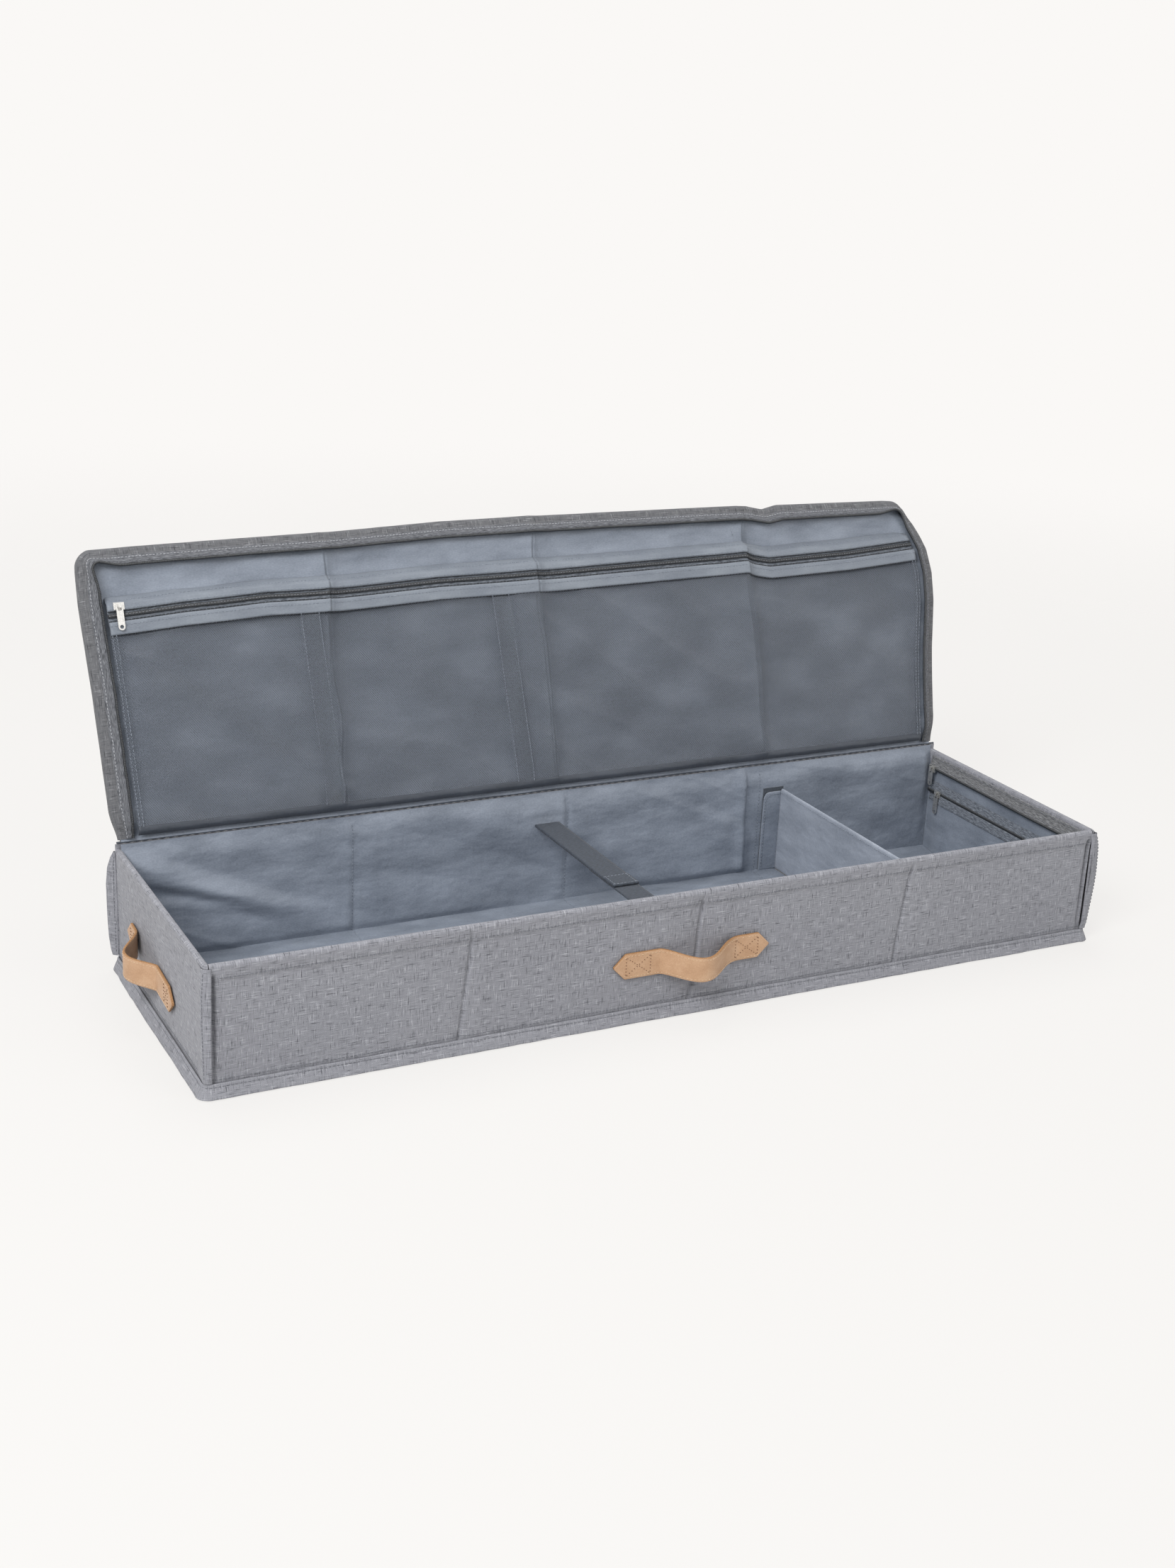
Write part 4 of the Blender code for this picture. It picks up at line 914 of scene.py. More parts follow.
def base_zip():
    """Base half of the main zip: tape and coil inside the rim, along both ends and the front."""
    half, reach = HALF_LENGTH - 6.6 * MM, HALF_DEPTH - 6.6 * MM
    at, normal, run = three_sides(half, reach, -(reach - 4 * MM), 14 * MM, 3 * MM)
    normal = normal * (1, -1)
    corners = np.array([(0.55, 124.4), (0.75, 120.0), (2.0, 114.0), (2.9, 111.2)])
    profile = fine_profile(corners * MM, 1.0 * MM)
    wave = 0.35 * MM * hills(run / 0.03, 0.5, 81)
    down = np.linspace(0, 1, len(profile))
    flat = np.stack([at(inset) * (1, -1) for inset in profile[:, 0]], axis=1)
    flat = flat - normal[:, None] * ((wave[:, None] + 0.35 * MM) * down[None, :])[..., None]
    height = profile[None, :, 1] + 0.4 * MM * hills(run / 0.05, 1.5, 82)[:, None] * down[None, :]
    points = np.concatenate([flat, height[..., None]], axis=2)
    tape = lay_tape("base_zip_tape_cloth", points, "base", ["base_zip_tape"], RIM_TAPE)
    inward = np.concatenate([-normal, np.zeros((len(normal), 1))], axis=1)
    wind_coil("base_zip_teeth", points[:, -1] + (0, 0, -1.2 * MM), inward, "base", ["base_zip_coil"])
    sew("base_zip_stitches", [(points[:, 2] + inward * 0.5 * MM, inward),
                              (points[:, -4] + inward * 0.5 * MM, inward)], GREY_THREAD, "base")


# Lid

# How far each edge wanders from its straight line: places in metres, then millimetres
LID_EDGE = ([-0.5, -0.4908, -0.44, -0.364, -0.244, -0.104, 0.0, 0.2, 0.284, 0.305, 0.325, 0.411, 0.476,
             0.5],
            [-7.0, -6.0, -4.6, -3.2, -1.8, 3.2, 3.6, 2.4, 1.0, -4.0, 0.5, -1.0, -2.0, -4.0])
ZIP_LINE = ([-0.5, -0.478, -0.401, -0.312, -0.252, -0.118, 0.0, 0.12, 0.262, 0.30, 0.393, 0.503],
            [-11.0, -9.8, -4.6, -1.2, -2.4, 2.6, 2.2, 4.4, 6.0, -1.0, 1.5, 9.0])
RIGHT_BOW = ([0.0, 0.02, 0.042, 0.11, 0.1656, 0.199, 0.2273, 0.2648, 0.2764, 0.294, 0.31],
             [-3.0, 0.0, 2.5, 14.0, 25.5, 29.0, 27.0, 14.0, 8.5, 1.0, 0.0])
LEFT_BOW = ([0.0, 0.04, 0.16, 0.25, 0.28, 0.30], [0.0, 0.0, 1.0, 3.0, 2.0, 0.0])
LID_FOLDS = ((-0.247, 7.0), (0.0, 6.0), (0.268, 9.0))


def settle(x, v, n):
    """The lid's slack: its edges wander as in the photograph, and its panels bow at the creases."""
    top = tidy_step((v - 0.235) / 0.065)
    zip_share = np.where(v < 0.235, v / 0.235, np.clip((0.3 - v) / 0.065, 0.0, 1.0))
    v_now = v + (np.interp(x, *LID_EDGE) * top + np.interp(x, *ZIP_LINE) * tidy_step(zip_share)) * MM
    bow = np.interp(v, *RIGHT_BOW) * tidy_step((x - 0.28) / 0.20)
    bow = bow - np.interp(v, *LEFT_BOW) * tidy_step((-0.44 - x) / 0.05)
    drawn_in = 5.0 * near(v, 0.0, 0.035) * tidy_step((np.abs(x) - 0.482) / 0.016)
    x_now = x + (bow - np.sign(x) * drawn_in) * MM
    rise = np.zeros(np.broadcast(x, v).shape)
    for at, tall in LID_FOLDS:
        off = x - (at - (0.25 - v) * 0.05) - 0.003 * hills(v / 0.05, at * 7, 62)
        flank = np.exp(-np.maximum(off, 0) / 0.008) * 1.4 - 0.4 * np.exp(-np.maximum(off, 0) / 0.045)
        rise = rise + tall * np.where(off < 0, np.exp(np.minimum(off, 0) / 0.05), flank)
        rise = rise - 1.6 * near(off, 0.0015, 0.0028)
    rise = rise + 1.6 * hills(x / 0.16, v / 0.14, 61) * tidy_step(v / 0.05)
    rise = rise + 4.0 * tidy_step((x - 0.36) / 0.13) * near(v, 0.19, 0.12)
    rise = rise * tidy_step(v / 0.03) * (1.0 - 0.6 * tidy_step((v - 0.262) / 0.03))
    return x_now, v_now, n + rise * MM


def on_lid(x, v, n):
    """A point of the lid in the row's frame, from across x, out from the hinge v and inwards n."""
    x, v, n = np.broadcast_arrays(np.asarray(x, float), np.asarray(v, float), np.asarray(n, float))
    x, v, n = settle(x, v, n)
    return np.stack([x, HINGE_Y + v * math.sin(LEAN) - n * math.cos(LEAN),
                     HINGE_Z + v * math.cos(LEAN) + n * math.sin(LEAN)], axis=-1)


INWARD = np.array([0.0, -math.cos(LEAN), math.sin(LEAN)])


def lid_panel(low, high, step):
    """Across and out coordinates of a lid panel with two round corners; columns crowd at the folds."""
    bend = 13 * MM
    v = np.concatenate([np.arange(low, LID_REACH - bend, step),
                        LID_REACH - bend + bend * np.sin(np.linspace(0, 1.35, 9))])
    v = v[v <= high]
    past = np.clip(v - (LID_REACH - bend), 0.0, bend)
    half = HALF_LENGTH - bend + np.sqrt(bend ** 2 - past ** 2) - 0.8 * MM
    share = crowded(-1.0, 1.0, step / HALF_LENGTH, [at / HALF_LENGTH for at, _ in LID_FOLDS], 0.05)
    return share[:, None] * half[None, :], np.broadcast_to(v, (len(share), len(v)))


def seam_across(x0, x1, v, n):
    """A sewing line on the lid, between two (x, v) ends."""
    share = np.linspace(0, 1, max(int(abs(x1 - x0) / 0.003), 40))
    v = v if hasattr(v, "__len__") else (v, v)
    line = on_lid(x0 + (x1 - x0) * share, v[0] + (v[1] - v[0]) * share, np.full(len(share), n))
    return line, np.tile(INWARD, (len(share), 1))


def lid_panels():
    """Outer cloth, board and lining of the lid."""
    x, v = lid_panel(0.6 * MM, LID_REACH - 0.4 * MM, 4 * MM)
    soft = 0.8 * hills(x / 0.1, v / 0.09, 63) + 0.3 * hills(x / 0.03, v / 0.04, 64)
    crease = sum(near(x, q, 0.012) for q in QUARTERS)
    soft = (np.maximum(soft, -0.4) - 0.7 * crease) * tidy_step(v / 0.02)
    wedge = np.minimum(0.8 + (v - 0.6 * MM) / MM, 5.6)
    back = grid_piece("lid_cloth", on_lid(x, v, -(wedge + soft) * MM), CLOTH, "lid", ["lid_cover"],
                      "melange_cloth")
    panel = on_lid(x[::2] * 0.995, v[::2] * 0.978 + 4.2 * MM, -2.4 * MM)
    board = grid_piece("lid_board_core", panel, BOARD, "lid", ["lid_board"], "grey_board")
    thicken(board, 2.2 * MM, 0.0)
    x, v = lid_panel(0.2 * MM, LID_REACH - 1.0 * MM, 3 * MM)
    sweep = (x + v * 0.9) / 0.05
    soft = 0.9 * hills(sweep, v / 0.12, 65) + 0.5 * hills((x - v) / 0.028, v / 0.06, 66)
    soft = soft * (0.5 + 1.1 * tidy_step((v - 0.235) / 0.02)) * tidy_step((0.296 - v) / 0.012)
    edge = np.maximum(tidy_step((v - 0.262) / 0.02), tidy_step((np.abs(x) - 0.468) / 0.014))
    soft = soft + (4.2 * edge * tidy_step(v / 0.02) * tidy_step((0.4985 - np.abs(x)) / 0.009)
                   * tidy_step((0.2985 - v) / 0.009))
    face = grid_piece("lid_lining_cloth", on_lid(x, v, (0.9 + soft) * MM), LINING, "lid", ["lid_lining"],
                      "lining_cloth")
    turn = np.linspace(0, 2 * math.pi, 13)[:-1]
    across = np.linspace(-0.4985, 0.4985, 400)
    girth = 1.1 * MM * (1.0 + 0.08 * np.sin(across / 0.0035 * 2 * math.pi))
    bead = np.stack([np.broadcast_to(across[:, None], (400, 12)),
                     HINGE_Y + girth[:, None] * np.cos(turn), HINGE_Z + girth[:, None] * np.sin(turn)],
                    axis=2)
    # The piping is a real seam in dark lining: a painted shadow line between the lid and the rear
    # lining.
    grid_piece("hinge_piping", bead, SEAM_SHADOW_LINING, "lid", ["lid_hinge_seam"], "lining_cloth", ring=True,
               caps=True)


def lid_border():
    """Border strip turned over the lid's three free edges, with its zip tape and coil."""
    at, normal, run = three_sides(HALF_LENGTH, LID_REACH, 2.5 * MM, 13 * MM, 3 * MM)
    line = at(0.0)
    ends = tidy_step(run / 0.02) * tidy_step((run[-1] - run) / 0.02)
    wave = 0.7 * hills(run / 0.06, 0.5, 67) + 0.4 * hills(run / 0.02, 1.5, 68)
    bend = sum(near(line[:, 0], q, 0.018) * (line[:, 1] > 0.299) for q in (-0.247, 0.004, 0.305))
    tucked = near(np.abs(line[:, 0]), 0.497, 0.035) * near(line[:, 1], 0.297, 0.035)

    def swept(corners, step, name_seed, ease=0):
        profile = fine_profile(np.array(corners) * MM, step, ease)
        share = np.linspace(0, 1, len(profile))[None, :]
        slack = (wave[:, None] * share + 0.3 * hills(run / 0.015, name_seed, 69)[:, None] * share) * MM
        flat = np.stack([at(inset) for inset in profile[:, 0]], axis=1)
        pull = slack * 0.6 - tucked[:, None] * np.maximum(profile[None, :, 0] - 6 * MM, 0.0) * 0.5
        flat = flat - normal[:, None] * pull[..., None]
        lift = (slack + (1.2 * bend + 1.5 * tucked)[:, None] * share * MM) * ends[:, None]
        high = profile[None, :, 1]
        rise = high * (0.4 + 0.6 * ends[:, None]) + np.where(high > 0, lift, 0.0)
        return on_lid(flat[..., 0], flat[..., 1], rise)

    outer = swept([(13.0, -6.9), (4.0, -7.3), (0.6, -6.8), (-1.6, -4.6), (-1.9, 0.4), (-0.9, 3.0),
                   (2.0, 4.7), (6.8, 5.6), (9.4, 7.5), (10.7, 7.5), (10.3, 6.6), (8.0, 5.8)],
                  1.1 * MM, 0.2, 1)
    # The border wears the darker copy of the cloth: painted shade.
    piece = grid_piece("lid_border_cloth", outer, SHADED_BORDER_CLOTH, "lid",
                       ["lid_border_front", "lid_border_left", "lid_border_right"], "melange_cloth")
    tape = swept([(7.6, 6.3), (9.6, 7.2), (13.0, 10.4), (16.6, 12.0)], 1.0 * MM, 0.2)
    cloth = lay_tape("lid_zip_tape_cloth", tape, "lid", ["lid_zip_tape"])
    edge = swept([(16.6, 12.0), (17.9, 12.2)], 1.0 * MM, 0.2)
    up = facing(edge)[:, -1]
    up = up * np.sign((up @ INWARD))[:, None]
    teeth = wind_coil("lid_zip_teeth", edge[:, -1], up, "lid", ["lid_zip_coil"])
    seams = []
    for grid, column, lift in ((outer, -5, 0.2), (outer, 2, 0.2), (tape, 4, 0.5), (tape, -3, 0.5)):
        up = facing(grid)[:, column]
        out = grid[:, column] - grid.mean(axis=1)
        want = -INWARD if column == 2 else INWARD
        up = up * np.where(up @ want < 0, -1.0, 1.0)[:, None]
        seams.append((grid[:, column] + up * lift * MM, up))
    sew("lid_border_edge_stitches", seams[:1], LIGHT_THREAD, "lid", 2.8 * MM, 0.8 * MM, 0.45 * MM)
    sew("lid_border_stitches", seams[1:2], GREY_THREAD, "lid")
    tape_stitches = sew("lid_tape_stitches", seams[2:], GREY_THREAD, "lid")
    for piece in (cloth, teeth, tape_stitches):
        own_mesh(piece)


POCKET_HALF = 0.477
POCKET_ZIP_V = 0.235
MIDDLE_BANDS = (-0.27, -0.05)


def net_height(x, v):
    """How far the net stands off the lining: it bellies softly and is held down at its seams."""
    belly = (4.2 * hills((x + v * 0.7) / 0.10, v / 0.09, 83)
             + 2.6 * hills((x - v * 0.8) / 0.045, v / 0.07, 84))
    drawn = 1.0 - np.minimum(np.abs(hills((x + v * 1.2) / 0.09, v / 0.15, 85)) * 2.4, 1.0)
    belly = belly + 2.8 * drawn ** 2
    held = sum(near(x, at, 0.02) for at in (-POCKET_HALF, *MIDDLE_BANDS, POCKET_HALF))
    held = np.minimum(held + near(v, 0.0, 0.03) + near(v, 0.225, 0.02), 1.0)
    tucked = 2.6 * near(v, 0.217, 0.004)
    return 8.3 * MM + (np.maximum(belly, -3.6) * (1 - held) - tucked) * MM


def lid_pocket():
    """Net pocket on the lid: net, its sewn bands, foot seam, binding, closed zip and hem."""
    half = POCKET_HALF
    across = crowded(-half, half, 3 * MM, [at for at, _ in LID_FOLDS], 0.02)
    x, v = grid_of(across, np.linspace(9.2 * MM, 217 * MM, 80))
    cloth = np.stack([x, v], axis=2)
    net = grid_piece("lid_net", on_lid(x, v, net_height(x, v)), NET, "lid", ["lid_mesh"],
                     "pocket_mesh", cloth=cloth)
    bands, seams = [], []
    for at, wide in ((-0.4735, 7.0), (MIDDLE_BANDS[0], 22.0), (MIDDLE_BANDS[1], 22.0), (0.4735, 7.0)):
        bands.append((at, wide * MM))
        for side in (-1, 1):
            stitched = at + side * (wide / 2 - 1.6) * MM
            seams.append(seam_across(stitched, stitched - 1e-4, (0.011, 0.216), 10.3 * MM))
    rows, faces, coordinates, first = [], [], [], 0
    for at, wide in bands:
        x, v = grid_of(np.linspace(at - wide / 2, at + wide / 2, 9), np.linspace(9.4 * MM, 216 * MM, 70))
        grid = on_lid(x, v, net_height(x, v) + 0.9 * MM)
        index = first + np.arange(grid.shape[0] * grid.shape[1]).reshape(grid.shape[:2])
        rows.append(grid.reshape(-1, 3))
        faces += quads_of(index).reshape(-1, 4).tolist()
        coordinates.append(quads_of(np.stack([x, v], axis=2)).reshape(-1, 2))
        first += grid.shape[0] * grid.shape[1]
    make_piece("net_bands", np.concatenate(rows), faces, NET_DOUBLED, "lid", ["lid_mesh_seams"],
               "pocket_mesh", np.concatenate(coordinates))

    def strip(name, corners, finish, stands_for, slot):
        """One strip along the pocket, swept from its (out, inward) corners in millimetres."""
        profile = fine_profile(np.array(corners) * MM, 1.2 * MM)
        x = np.broadcast_to(across[:, None], (len(across), len(profile)))
        v = profile[None, :, 0] + 0.3 * MM * hills(across / 0.04, 0.5, 87)[:, None]
        n = np.broadcast_to(profile[None, :, 1], v.shape)
        return lay_tape(name, on_lid(x, v, n), "lid", stands_for, finish, slot)

    # The foot tape is dark lining: a painted shade line along the net's foot.
    foot = strip("net_foot_tape", [(4.6, 6.2), (6.6, 8.6), (8.0, 9.4), (11.6, 9.5), (12.8, 8.5)],
                 SEAM_SHADOW_LINING, (), "zip_tape")
    bound = strip("net_binding", [(215.4, 8.6), (215.6, 10.6), (227.6, 11.4), (228.6, 10.4)],
                  BINDING, ["lid_pocket_binding"], "lining_cloth")
    tape = strip("lid_pocket_tape_cloth",
                 [(224.5, 9.4), (230.0, 8.7), (235.0, 9.0), (239.0, 8.6), (245.5, 9.0)],
                 POCKET_TAPE, ["lid_pocket_tape"], "zip_tape")
    hem = strip("lid_pocket_hem_cloth",
                [(239.8, 9.6), (240.0, 11.4), (246.0, 10.6), (252.6, 3.6), (254.5, 1.8)],
                BINDING, ["lid_pocket_hem"], "lining_cloth")
    v = np.full(len(across), POCKET_ZIP_V) + 0.3 * MM * hills(across / 0.04, 0.5, 87)
    wind_coil("lid_pocket_teeth", on_lid(across, v, 10.5 * MM), np.tile(INWARD, (len(across), 1)), "lid",
              ["lid_pocket_coil"], double=True)
    for at, n in ((0.2246, 11.6), (0.2412, 11.6), (0.2500, 6.9)):
        seams.append(seam_across(-half, half, at, n * MM))
    # Real edge stitches, sewn thick, dark and almost unbroken, so that they also paint the shade lines
    # under the binding, tape and hem.
    dark = [seam_across(-half, half, at, n * MM)
            for at, n in ((0.2150, 9.6), (0.2296, 9.8), (0.2392, 10.2))]
    sew("lid_pocket_edge_stitches_and_shade", dark, BLACK_THREAD_AND_SHADE, "lid", 3.4 * MM, 0.5 * MM, 0.6 * MM)
    sew("lid_pocket_coil_stitches", [seam_across(-half, half, POCKET_ZIP_V, 11.5 * MM)], GREY_THREAD,
        "lid", 1.7 * MM, 1.7 * MM, 0.42 * MM)
    for q in QUARTERS:
        seams.append(seam_across(q + 0.006, q + 0.0055, (0.262, 0.29), 1.6 * MM))
    sew("lid_pocket_stitches", seams, SLATE_THREAD, "lid")


# Handles, strap, divider and end pocket


def leather_strap(name, path, widths, across, thickness, body, stands_for):
    """A cut leather strap with rounded edges along a path; its cut edges are painted."""
    ahead = np.gradient(path, axis=0)
    ahead /= np.linalg.norm(ahead, axis=1, keepdims=True)
    up = np.cross(ahead, across)
    up /= np.linalg.norm(up, axis=1, keepdims=True)
    half = thickness / 2
    around = np.array([(-1, -0.55), (-0.97, -0.9), (-0.9, -1.0), (-0.5, -1.0), (0, -1.0), (0.5, -1.0),
                       (0.9, -1.0), (0.97, -0.9), (1, -0.55), (1, 0.3), (0.985, 0.75), (0.95, 0.95),
                       (0.88, 1.0), (0.8, 1.06), (0.5, 1.12), (0.0, 1.14), (-0.5, 1.12), (-0.8, 1.06),
                       (-0.88, 1.0), (-0.95, 0.95), (-0.985, 0.75), (-1, 0.3)])
    points = (path[:, None] + across * (widths[:, None] * around[None, :, 0])[..., None]
              + up[:, None] * (half * around[None, :, 1])[..., None])
    piece = grid_piece(name, points, LEATHER, body, stands_for, "tan_leather", ring=True, caps=True)
    piece.data.materials.append(LEATHER_EDGE)
    count = len(around)
    edge = {7, 8, 9, 10, 20, 21, 0}
    for k, face in enumerate(piece.data.polygons):
        if k >= (len(path) - 1) * count or k % count in edge:
            face.material_index = 1
    return up


def carry_handle(name, node, span, arch, rise, sag, skew, kink, to_world, across):
    """A leather handle: flat sewn ends with cut points, arched between, stitched along both edges."""
    start, end = span
    low, high = arch
    along = np.linspace(start, end, 150)
    share = np.clip((along - low) / (high - low), 0, 1) ** skew
    bow = np.sin(math.pi * share) ** np.where(share < 0.5, 2.0, kink)
    lie = 1.6 * MM
    path = np.array([to_world(a, lie + rise * b, -sag * b) for a, b in zip(along, bow)])
    point = np.minimum(0.9 * MM + (along - start) * 1.02, 0.9 * MM + (end - along) * 1.02)
    widths = np.minimum(13.5 * MM, point) - 0.6 * MM * bow
    up = leather_strap(name, path, widths, across, 2.6 * MM, "base", [node])
    face = path + up * 1.5 * MM
    rows, boxes = [], []
    inner = slice(9, -9)
    for side in (-1, 1):
        edge = face + across * (side * (widths - 2.6 * MM))[:, None]
        rows.append((edge[inner], up[inner]))
    sewn = 0.040 if rise > 0.025 else 0.026
    for box_low, box_high in ((start + 0.013, start + sewn), (end - sewn, end - 0.013)):
        reach = 10.0 * MM
        corners = [(box_low, -reach), (box_low, reach), (box_high, reach), (box_high, -reach)]
        for a, b in ((0, 1), (2, 3), (0, 2), (1, 3)):
            run = np.linspace(corners[a][0], corners[b][0], 30)
            side = np.linspace(corners[a][1], corners[b][1], 30)
            base = np.stack([np.interp(run, along, face[:, i]) for i in range(3)], axis=1)
            normal = np.stack([np.interp(run, along, up[:, i]) for i in range(3)], axis=1)
            boxes.append((base + across * side[:, None], normal))
    sew(name + "_stitches", rows, PALE_THREAD, "base", 2.4 * MM, 1.4 * MM, 0.28 * MM)
    sew(name + "_box_stitches", boxes, BROWN_THREAD, "base", 1.1 * MM, 2.2 * MM, 0.42 * MM)


def carry_handles():
    """The three handles; the left one hangs a little aslant."""
    def on_front_wall(a, out, drop):
        return a, -HALF_DEPTH - out, 0.062 + drop

    def on_left_wall(a, out, drop):
        return -HALF_LENGTH - out, -a + 0.046, 0.058 + drop - 0.08 * (a - 0.023)

    def on_right_wall(a, out, drop):
        return HALF_LENGTH + out, a - 0.005, 0.058 + drop

    up = np.array([0.0, 0.0, 1.0])
    carry_handle("front_leather", "front_handle", (-0.092, 0.084), (-0.042, 0.050), 0.027, 0.004,
                 0.82, 2.0, on_front_wall, up)
    for side, place in (("left", on_left_wall), ("right", on_right_wall)):
        carry_handle(side + "_leather", side + "_handle", (-0.052, 0.103), (-0.026, 0.050), 0.021,
                     0.002, 1.0, 1.2, place, up)


def webbing_half(name, root, tip, offset, body, doubled):
    """One half of the holding strap, sagging between its seam and its free tip."""
    y = np.linspace(root, tip, 90)
    z = 100 * MM - 0.5 * MM * (1 - (y / root) ** 2) + offset
    if doubled:
        fold = tip + math.copysign(26 * MM, root - tip)
        z = z + 0.7 * MM * tidy_step((fold - y) / (1.5 * MM) * math.copysign(1, root - tip))
    x = -0.0255 + np.linspace(-14.5, 14.5, 13) * MM
    grid = np.stack(np.broadcast_arrays(x[None, :], y[:, None], z[:, None]), axis=2).copy()
    grid[..., 2] += 0.25 * MM * hills(y / 0.03, 0.5, 93)[:, None] * np.linspace(-1, 1, 13)[None, :]
    cloth = np.stack(grid_of(np.abs(y - root), x), axis=2)
    piece = grid_piece(name, grid, WEBBING, body, [body], "strap_webbing", cloth=cloth)
    thicken(piece, (2.3 if doubled else 1.1) * MM, 0.0)
    return grid, y


def holding_strap():
    """Both halves of the holding strap, and the stitches that close the rear half's folded tip."""
    rear, y = webbing_half("strap_rear_webbing", 0.1446, -0.048, 0.75 * MM, "strap_rear", True)
    webbing_half("strap_front_webbing", -0.1446, 0.008, -0.75 * MM, "strap_front", False)
    up = np.array([0.0, 0.0, 1.0])
    lines = []
    for at in (-0.0455, -0.0245):
        row = int(np.argmin(np.abs(y - at)))
        lines.append((rear[row] + up * 1.25 * MM, np.tile(up, (13, 1))))
    for column in (1, -2):
        part = rear[np.abs(y + 0.035) < 0.0115]
        lines.append((part[:, column] + up * 1.25 * MM, np.tile(up, (len(part), 1))))
    sew("strap_stitches", lines, SLATE_THREAD, "strap_rear")


def divider_panel():
    """Lining-covered divider board with a stitched top rim, and its flange along the rear wall."""
    foot, top, x0 = 6.0 * MM, 106 * MM, 0.281
    front, rear = -0.1390, 0.1410
    half = 2.2 * MM
    corners = [(0.0, foot - 0.6 * MM), (-half, foot), (-half, top - 1.6 * MM), (-half * 0.5, top),
               (half * 0.5, top), (half, top - 1.6 * MM), (half, foot), (0.0, foot - 0.6 * MM)]
    section = fine_profile(np.array(corners), 2.0 * MM, 1)
    turned_in = np.array([0.8, 0.5]) * MM
    y = np.concatenate([front - turned_in, np.linspace(front, rear, 110), rear + turned_in[::-1]])
    run, out = grid_of(y, section[:, 0])
    past = np.maximum(np.maximum(front - run, run - rear), 0.0)
    out = out * np.interp(past, [0.0, 0.5 * MM, 0.8 * MM], [1.0, 0.75, 0.05])
    z = np.broadcast_to(section[:, 1], run.shape)
    edge = tidy_step((run - front) / 0.01) * tidy_step((rear - run) / 0.01)
    edge = edge * tidy_step((z - foot) / 0.01)
    puff = 0.22 * hills(run / 0.05, z / 0.06, 95) * MM * edge
    side = np.where(np.abs(out) > 1.5 * MM, np.sign(out), 0.0)
    points = np.stack([x0 + out + side * puff, run, z], axis=2)
    # The divider wears the lighter copy of the lining: painted light.
    piece = grid_piece("divider_cloth", points, LIT_DIVIDER_LINING, "divider", ["divider_cover"],
                       "lining_cloth")
    lines = []
    for sign in (-1, 1):
        pick = np.where(np.sign(section[:, 0]) == sign)[0]
        column = pick[np.argmin(np.abs(section[pick, 1] - (top - 4.5 * MM)))]
        normal = np.tile([sign * 1.0, 0.0, 0.0], (len(y), 1))
        lines.append((points[:, column] + normal * 0.2 * MM, normal))
    left, right = x0 + 2.35 * MM - 27 * MM, x0 + 2.35 * MM
    x, z = grid_of(np.linspace(left, right, 16), np.linspace(foot, 103 * MM, 50))
    cut = 8 * MM
    down = np.clip((left + cut - x) / cut, 0, 1)
    z = np.minimum(z, 103 * MM - cut * (1 - np.sqrt(1 - down ** 2)))
    y_face = 0.1422 - 0.25 * MM * (hills(x / 0.02, z / 0.03, 96) + 1)
    flange = grid_piece("divider_flange_cloth", np.stack([x, y_face, z], axis=2), LINING, "divider",
                        ["divider_flange"], "lining_cloth")
    thicken(flange, 1.4 * MM, 0.0)
    rim = np.array([(left + 2.5 * MM, 0.0, z) for z in np.linspace(0.01, 0.094, 40)]
                   + [(left + 2.5 * MM + 7 * MM * t, 0.0, 0.094 + 0.006 * math.sin(t * math.pi / 2))
                      for t in np.linspace(0.05, 1, 8)] + [(right - 3 * MM, 0.0, 0.1)])
    rim[:, 1] = 0.1409
    lines.append((rim, np.tile([0.0, -1.0, 0.0], (len(rim), 1))))
    sew("divider_stitches", lines, SLATE_THREAD, "divider")


def end_pocket():
    """Zipped lining pocket on the right end wall, standing a little open."""
    wall = HALF_LENGTH - 5.1 * MM
    y = np.linspace(-0.14, 0.14, 110)
    off = 4.9 * MM * tidy_step((0.14 - np.abs(y)) / 0.03) + 0.6 * MM

    def face(levels, extra):
        """Points of the pocket's face, standing off the wall."""
        run, z = grid_of(y, levels)
        return np.stack([wall - off[:, None] - extra(run, z), run, z], axis=2)

    def sag(run, z):
        soft = 1.2 * MM * (hills((run + z) / 0.05, z / 0.05, 97) + 0.4)
        return soft * near(z, 0.035, 0.034) * near(run, 0, 0.14)

    panel = face(np.linspace(6.0 * MM, 69.5 * MM, 40), sag)
    piece = grid_piece("end_pocket_cloth", panel, LINING, "base", ["end_pocket_panel"], "lining_cloth")
    lower = face(np.linspace(69.0 * MM, 80.2 * MM, 9), lambda run, z: 0.2 * MM - (z - 0.069) * 0.12)
    tape = lay_tape("end_pocket_lower_cloth", lower, "base", ["end_pocket_lower_tape"], POCKET_TAPE)
    levels = np.linspace(82.4 * MM, 93.0 * MM, 9)
    run, z = grid_of(y, levels)
    lean = (93.0 * MM - z) / (10.6 * MM)
    upper = np.stack([wall - 0.7 * MM - lean * 2.8 * MM, run, z], axis=2)
    tape = lay_tape("end_pocket_upper_cloth", upper, "base", ["end_pocket_upper_tape"], POCKET_TAPE)
    coil = np.stack([np.full_like(y, wall - 3.6 * MM), y, np.full_like(y, 81.5 * MM)], axis=1)
    inward = np.tile([-1.0, 0.0, 0.0], (len(y), 1))
    wind_coil("end_pocket_teeth", coil, inward, "base", ["end_pocket_coil"], double=True)
    sew("end_pocket_stitches", [(lower[:, 2] + inward * 0.5 * MM, inward),
                                (upper[:, 6] + inward * 0.5 * MM, inward)], SLATE_THREAD, "base")


def finish_hardware():
    """Nickel for the sliders and pulls, board for the boards, pile for the loop strip."""
    looks = {"slider": NICKEL, "pull": NICKEL, "board": BOARD, "loop_strip": LOOP}
    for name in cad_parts:
        node = bpy.data.objects.get(name)
        for word, finish in looks.items():
            if node is not None and node.type == "MESH" and word in name:
                node.data.materials.clear()
                node.data.materials.append(finish)


# Floor and backdrop, light and camera


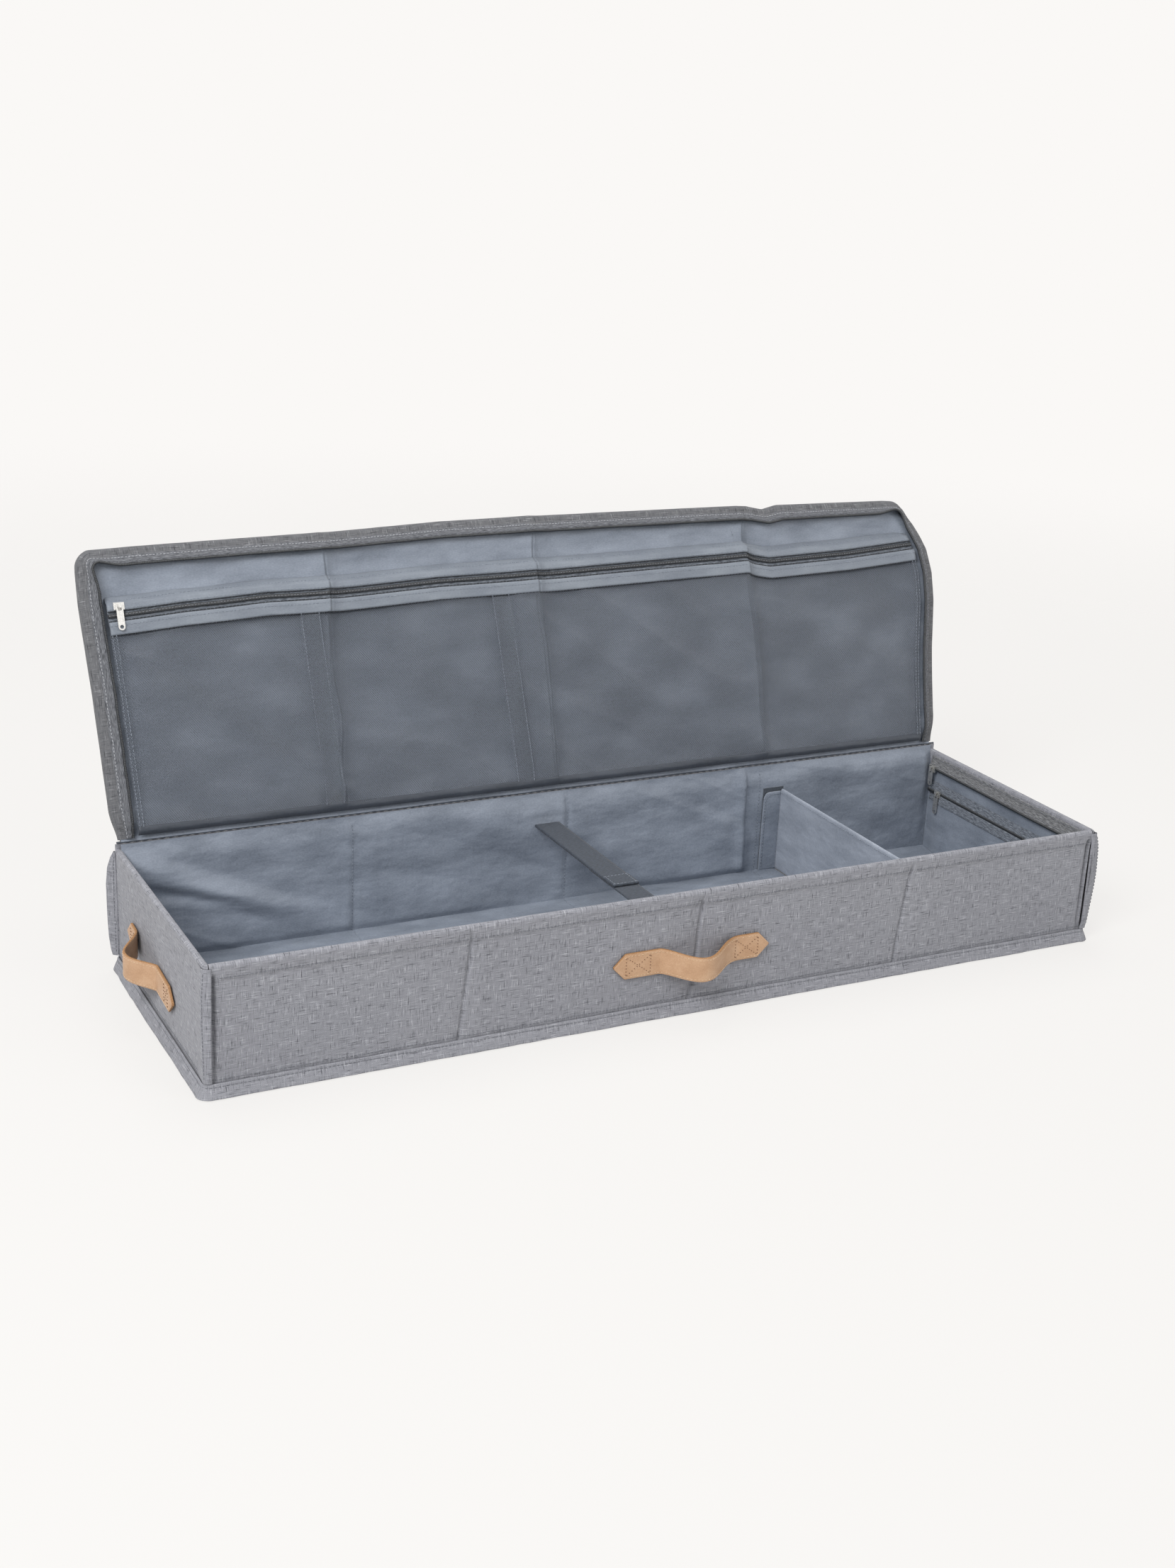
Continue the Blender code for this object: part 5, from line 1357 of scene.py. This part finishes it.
def lay_floor():
    """Pale floor that keeps the shadow; the camera sees it nearly white, fading into the backdrop.
    Its tint is darker where it is seen, and its own glow makes up for that."""
    finish, tree, shader = start_finish("pale_floor", 0.9, specular=0.1)
    path = add(tree, "ShaderNodeLightPath")
    seen = blend_of(tree, "MAXIMUM", path.outputs["Is Camera Ray"], path.outputs["Is Glossy Ray"])
    tint = add(tree, "ShaderNodeMix", {"data_type": "RGBA", 6: linear("#cfcfcd"), 7: linear("#6c6c6b")},
               {"Factor": seen})
    tree.links.new(tint.outputs[2], shader.inputs["Base Color"])
    shader.inputs["Emission Color"].default_value = linear("#faf8f6")
    tree.links.new(blend_of(tree, "MULTIPLY", seen, 0.765), shader.inputs["Emission Strength"])
    far = add(tree, "ShaderNodeVectorMath", {"operation": "LENGTH"},
              {0: solid_coordinates(tree)}).outputs["Value"]
    fade = add(tree, "ShaderNodeMapRange",
               {"From Min": 1.1, "From Max": 3.2, "To Min": 1.0, "To Max": 0.0,
                "interpolation_type": "SMOOTHSTEP"}, {"Value": far})
    keep = blend_of(tree, "MAXIMUM", fade.outputs[0], blend_of(tree, "SUBTRACT", 1.0, seen))
    tree.links.new(keep, shader.inputs["Alpha"])
    mesh = bpy.data.meshes.new("floor")
    wide = 14.0
    mesh.from_pydata([(-wide, -wide, 0), (wide, -wide, 0), (wide, wide, 0), (-wide, wide, 0)], [],
                     [(0, 1, 2, 3)])
    mesh.materials.append(finish)
    floor = bpy.data.objects.new("floor", mesh)
    bpy.context.scene.collection.objects.link(floor)


def hang_lamp(name, place, aim, size, power):
    """A square lamp at place, turned to its aim."""
    lamp = bpy.data.lights.new(name, "AREA")
    lamp.shape = "SQUARE"
    lamp.size = size
    lamp.energy = power
    holder = bpy.data.objects.new(name, lamp)
    holder.location = place
    holder.rotation_euler = (Vector(aim) - Vector(place)).to_track_quat("-Z", "Y").to_euler()
    bpy.context.scene.collection.objects.link(holder)


def light_studio():
    """A pale backdrop, and three soft lamps: key from the left, fill from the right, one above."""
    world = bpy.data.worlds.new("studio")
    bpy.context.scene.world = world
    world.use_nodes = True
    tree = world.node_tree
    back = tree.nodes["Background"]
    path = add(tree, "ShaderNodeLightPath")
    seen = blend_of(tree, "MAXIMUM", path.outputs["Is Camera Ray"], path.outputs["Is Glossy Ray"])
    seen = blend_of(tree, "MAXIMUM", seen, path.outputs["Is Transmission Ray"])
    back.inputs["Color"].default_value = linear("#faf8f6")
    strength = add(tree, "ShaderNodeMapRange", {"To Min": 0.50, "To Max": 1.0}, {"Value": seen})
    tree.links.new(strength.outputs[0], back.inputs["Strength"])
    hang_lamp("key_lamp", (-2.4, -1.6, 2.6), (0, 0, 0.1), 1.6, 102)
    hang_lamp("fill_lamp", (1.8, -2.4, 1.8), (0, 0, 0.1), 2.2, 22)
    hang_lamp("top_lamp", (0.2, 0.9, 2.8), (0, 0.1, 0.1), 2.0, 32)


def set_camera():
    """The photograph's viewpoint, in its own portrait frame."""
    eye, target = Vector((-0.95776, -1.71983, 0.87786)), Vector((-0.051, 0.0, 0.197))
    roll = math.radians(2.9)
    ahead = (target - eye).normalized()
    right = ahead.cross(Vector((0, 0, 1))).normalized()
    up = right.cross(ahead)
    side = right * math.cos(roll) + up * math.sin(roll)
    top = up * math.cos(roll) - right * math.sin(roll)
    lens = bpy.data.cameras.new("camera")
    lens.lens = 46.3
    lens.sensor_width = 36.0
    camera = bpy.data.objects.new("camera", lens)
    turn = Matrix((side, top, -ahead)).transposed().to_4x4()
    camera.matrix_world = Matrix.Translation(eye) @ turn
    bpy.context.scene.collection.objects.link(camera)
    bpy.context.scene.camera = camera


set_camera()
base_walls()
base_corners()
base_skirt()
base_linings()
base_zip()
lid_panels()
lid_border()
lid_pocket()
carry_handles()
holding_strap()
divider_panel()
end_pocket()
finish_hardware()
lay_floor()
light_studio()
bpy.context.scene.view_settings.view_transform = "Standard"
